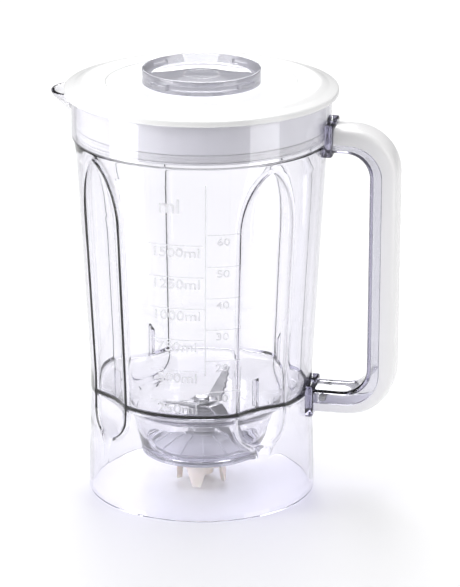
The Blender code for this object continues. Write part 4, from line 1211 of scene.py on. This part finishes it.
def make_studio():
    """White floor, pale surroundings and soft boxes."""
    none_selected()
    bpy.ops.mesh.primitive_circle_add(vertices=96, radius=6, fill_type="NGON", location=(0, 0, -0.0002))
    floor = bpy.context.object
    floor.name = "floor"
    settle(floor)
    finish, shader = new_material("floor_white", (0.93, 0.93, 0.93), 0.6)
    tint(finish, shader, noise(finish, 3, 2), (0.925, 0.925, 0.925), (0.935, 0.935, 0.935))
    floor.data.materials.append(finish)
    world = bpy.data.worlds.new("studio")
    world.use_nodes = True
    sky = world.node_tree.nodes["Background"]
    sky.inputs["Color"].default_value = (0.98, 0.98, 1, 1)
    sky.inputs["Strength"].default_value = 0.12
    scene = bpy.context.scene
    scene.world = world
    make_lamp((-1.0, -0.9, 0.9), (0, 0, 0.12), 0.8, 1.2, 6.2)
    make_lamp((1.2, -0.5, 0.8), (0, 0, 0.12), 0.6, 1.1, 2.6)
    make_lamp((-0.27, 1.25, 1.0), (-0.27, 1.25, 0), 0.5, 2.9, 22.5, 12)
    make_lamp((-0.47, -0.30, 0.25), (AX, 0, 0.22), 0.28, 0.5, 1.7)
    make_lamp((0.50, -0.22, 0.25), (AX, 0, 0.22), 0.28, 0.5, 0.9)
    scene.view_settings.view_transform = "Standard"
    scene.cycles.max_bounces = 24
    scene.cycles.transmission_bounces = 24
    scene.cycles.transparent_max_bounces = 24
    scene.cycles.caustics_reflective = False
    scene.cycles.use_denoising = True


# ---------------------------------------------------------------- the object
def build():
    """Make every piece."""
    make_camera()
    make_studio()
    clear = make_clear("clear_plastic", (1, 1, 1), (0.46, 0.43, 0.64), 52)
    # the cap's grey base colour and its part-opaque surface are painted shade: they stand in for the
    # darkening that refraction through the clear dish gives
    cap_painted_shade = make_clear("cap_plastic", (0.66, 0.66, 0.70), (0.42, 0.4, 0.56), 12, 0.7)
    channel_clear = make_clear("channel_plastic", (0.88, 0.88, 0.90), (0.44, 0.42, 0.58), 60)
    smoke = make_smoke()
    white = make_white("white_plastic", (0.93, 0.93, 0.93), 0.2)
    # the cover's white is a slightly darker copy of the lid's white plastic: painted shade on the handle
    # cover
    cover_shaded_white = make_white("handle_white", (0.93, 0.925, 0.93), 0.22)
    seal = make_rubber("white_silicone", (0.86, 0.86, 0.85), 0.5)
    rubber = make_rubber("grey_rubber", (0.30, 0.31, 0.32), 0.6)
    steel = make_steel("brushed_steel", (0.47, 0.47, 0.48), 0.3, 0.5, (1, 1, 6))
    turned_steel = make_steel("turned_steel", (0.52, 0.52, 0.53), 0.2, 0.38, (0.2, 0.2, 8))
    bronze = make_bronze()
    nylon = make_nylon()
    frost = make_frost()
    make_jug(clear)
    make_fins(clear)
    make_scale(frost)
    make_lid(white)
    make_lid_seal(seal)
    make_cap(cap_painted_shade)
    make_cover(cover_shaded_white)
    make_channel(channel_clear)
    make_pin(turned_steel)
    make_carrier(smoke)
    ring_piece("carrier_seal", LIP_R + GAP, 0.0002, "seat_seal", "carrier", rubber, "grey_rubber")
    ring_piece("shaft_seal", SHAFT_BORE_R, 0.0003, "hub_seal", "carrier", rubber, "grey_rubber")
    ring_piece("lower_bush", SHAFT_BORE_R, 0.0002, "bush_low", "carrier", bronze, "sintered_bronze")
    ring_piece("upper_bush", SHAFT_BORE_R, 0.0002, "bush_high", "carrier", bronze, "sintered_bronze")
    ring_piece("thrust_washer", SHAFT_BORE_R, 0.0001, "washer", "blades", turned_steel, "stainless_steel")
    ring_piece("retaining_clip", 0.0035, 0.0002, "clip", "blades", turned_steel, "stainless_steel")
    make_shaft(turned_steel)
    make_spacer(turned_steel)
    make_nut(turned_steel)
    make_blade("blade_high", "upper_blade", ((54, 58, 0.0070), (234, 20, 0.0)), steel, 5)
    make_blade("blade_low", "lower_blade", ((-28, -45, 0.0016), (152, -27, 0.0010)), steel, 0)
    make_coupling(nylon)


build()
bpy.context.view_layer.update()
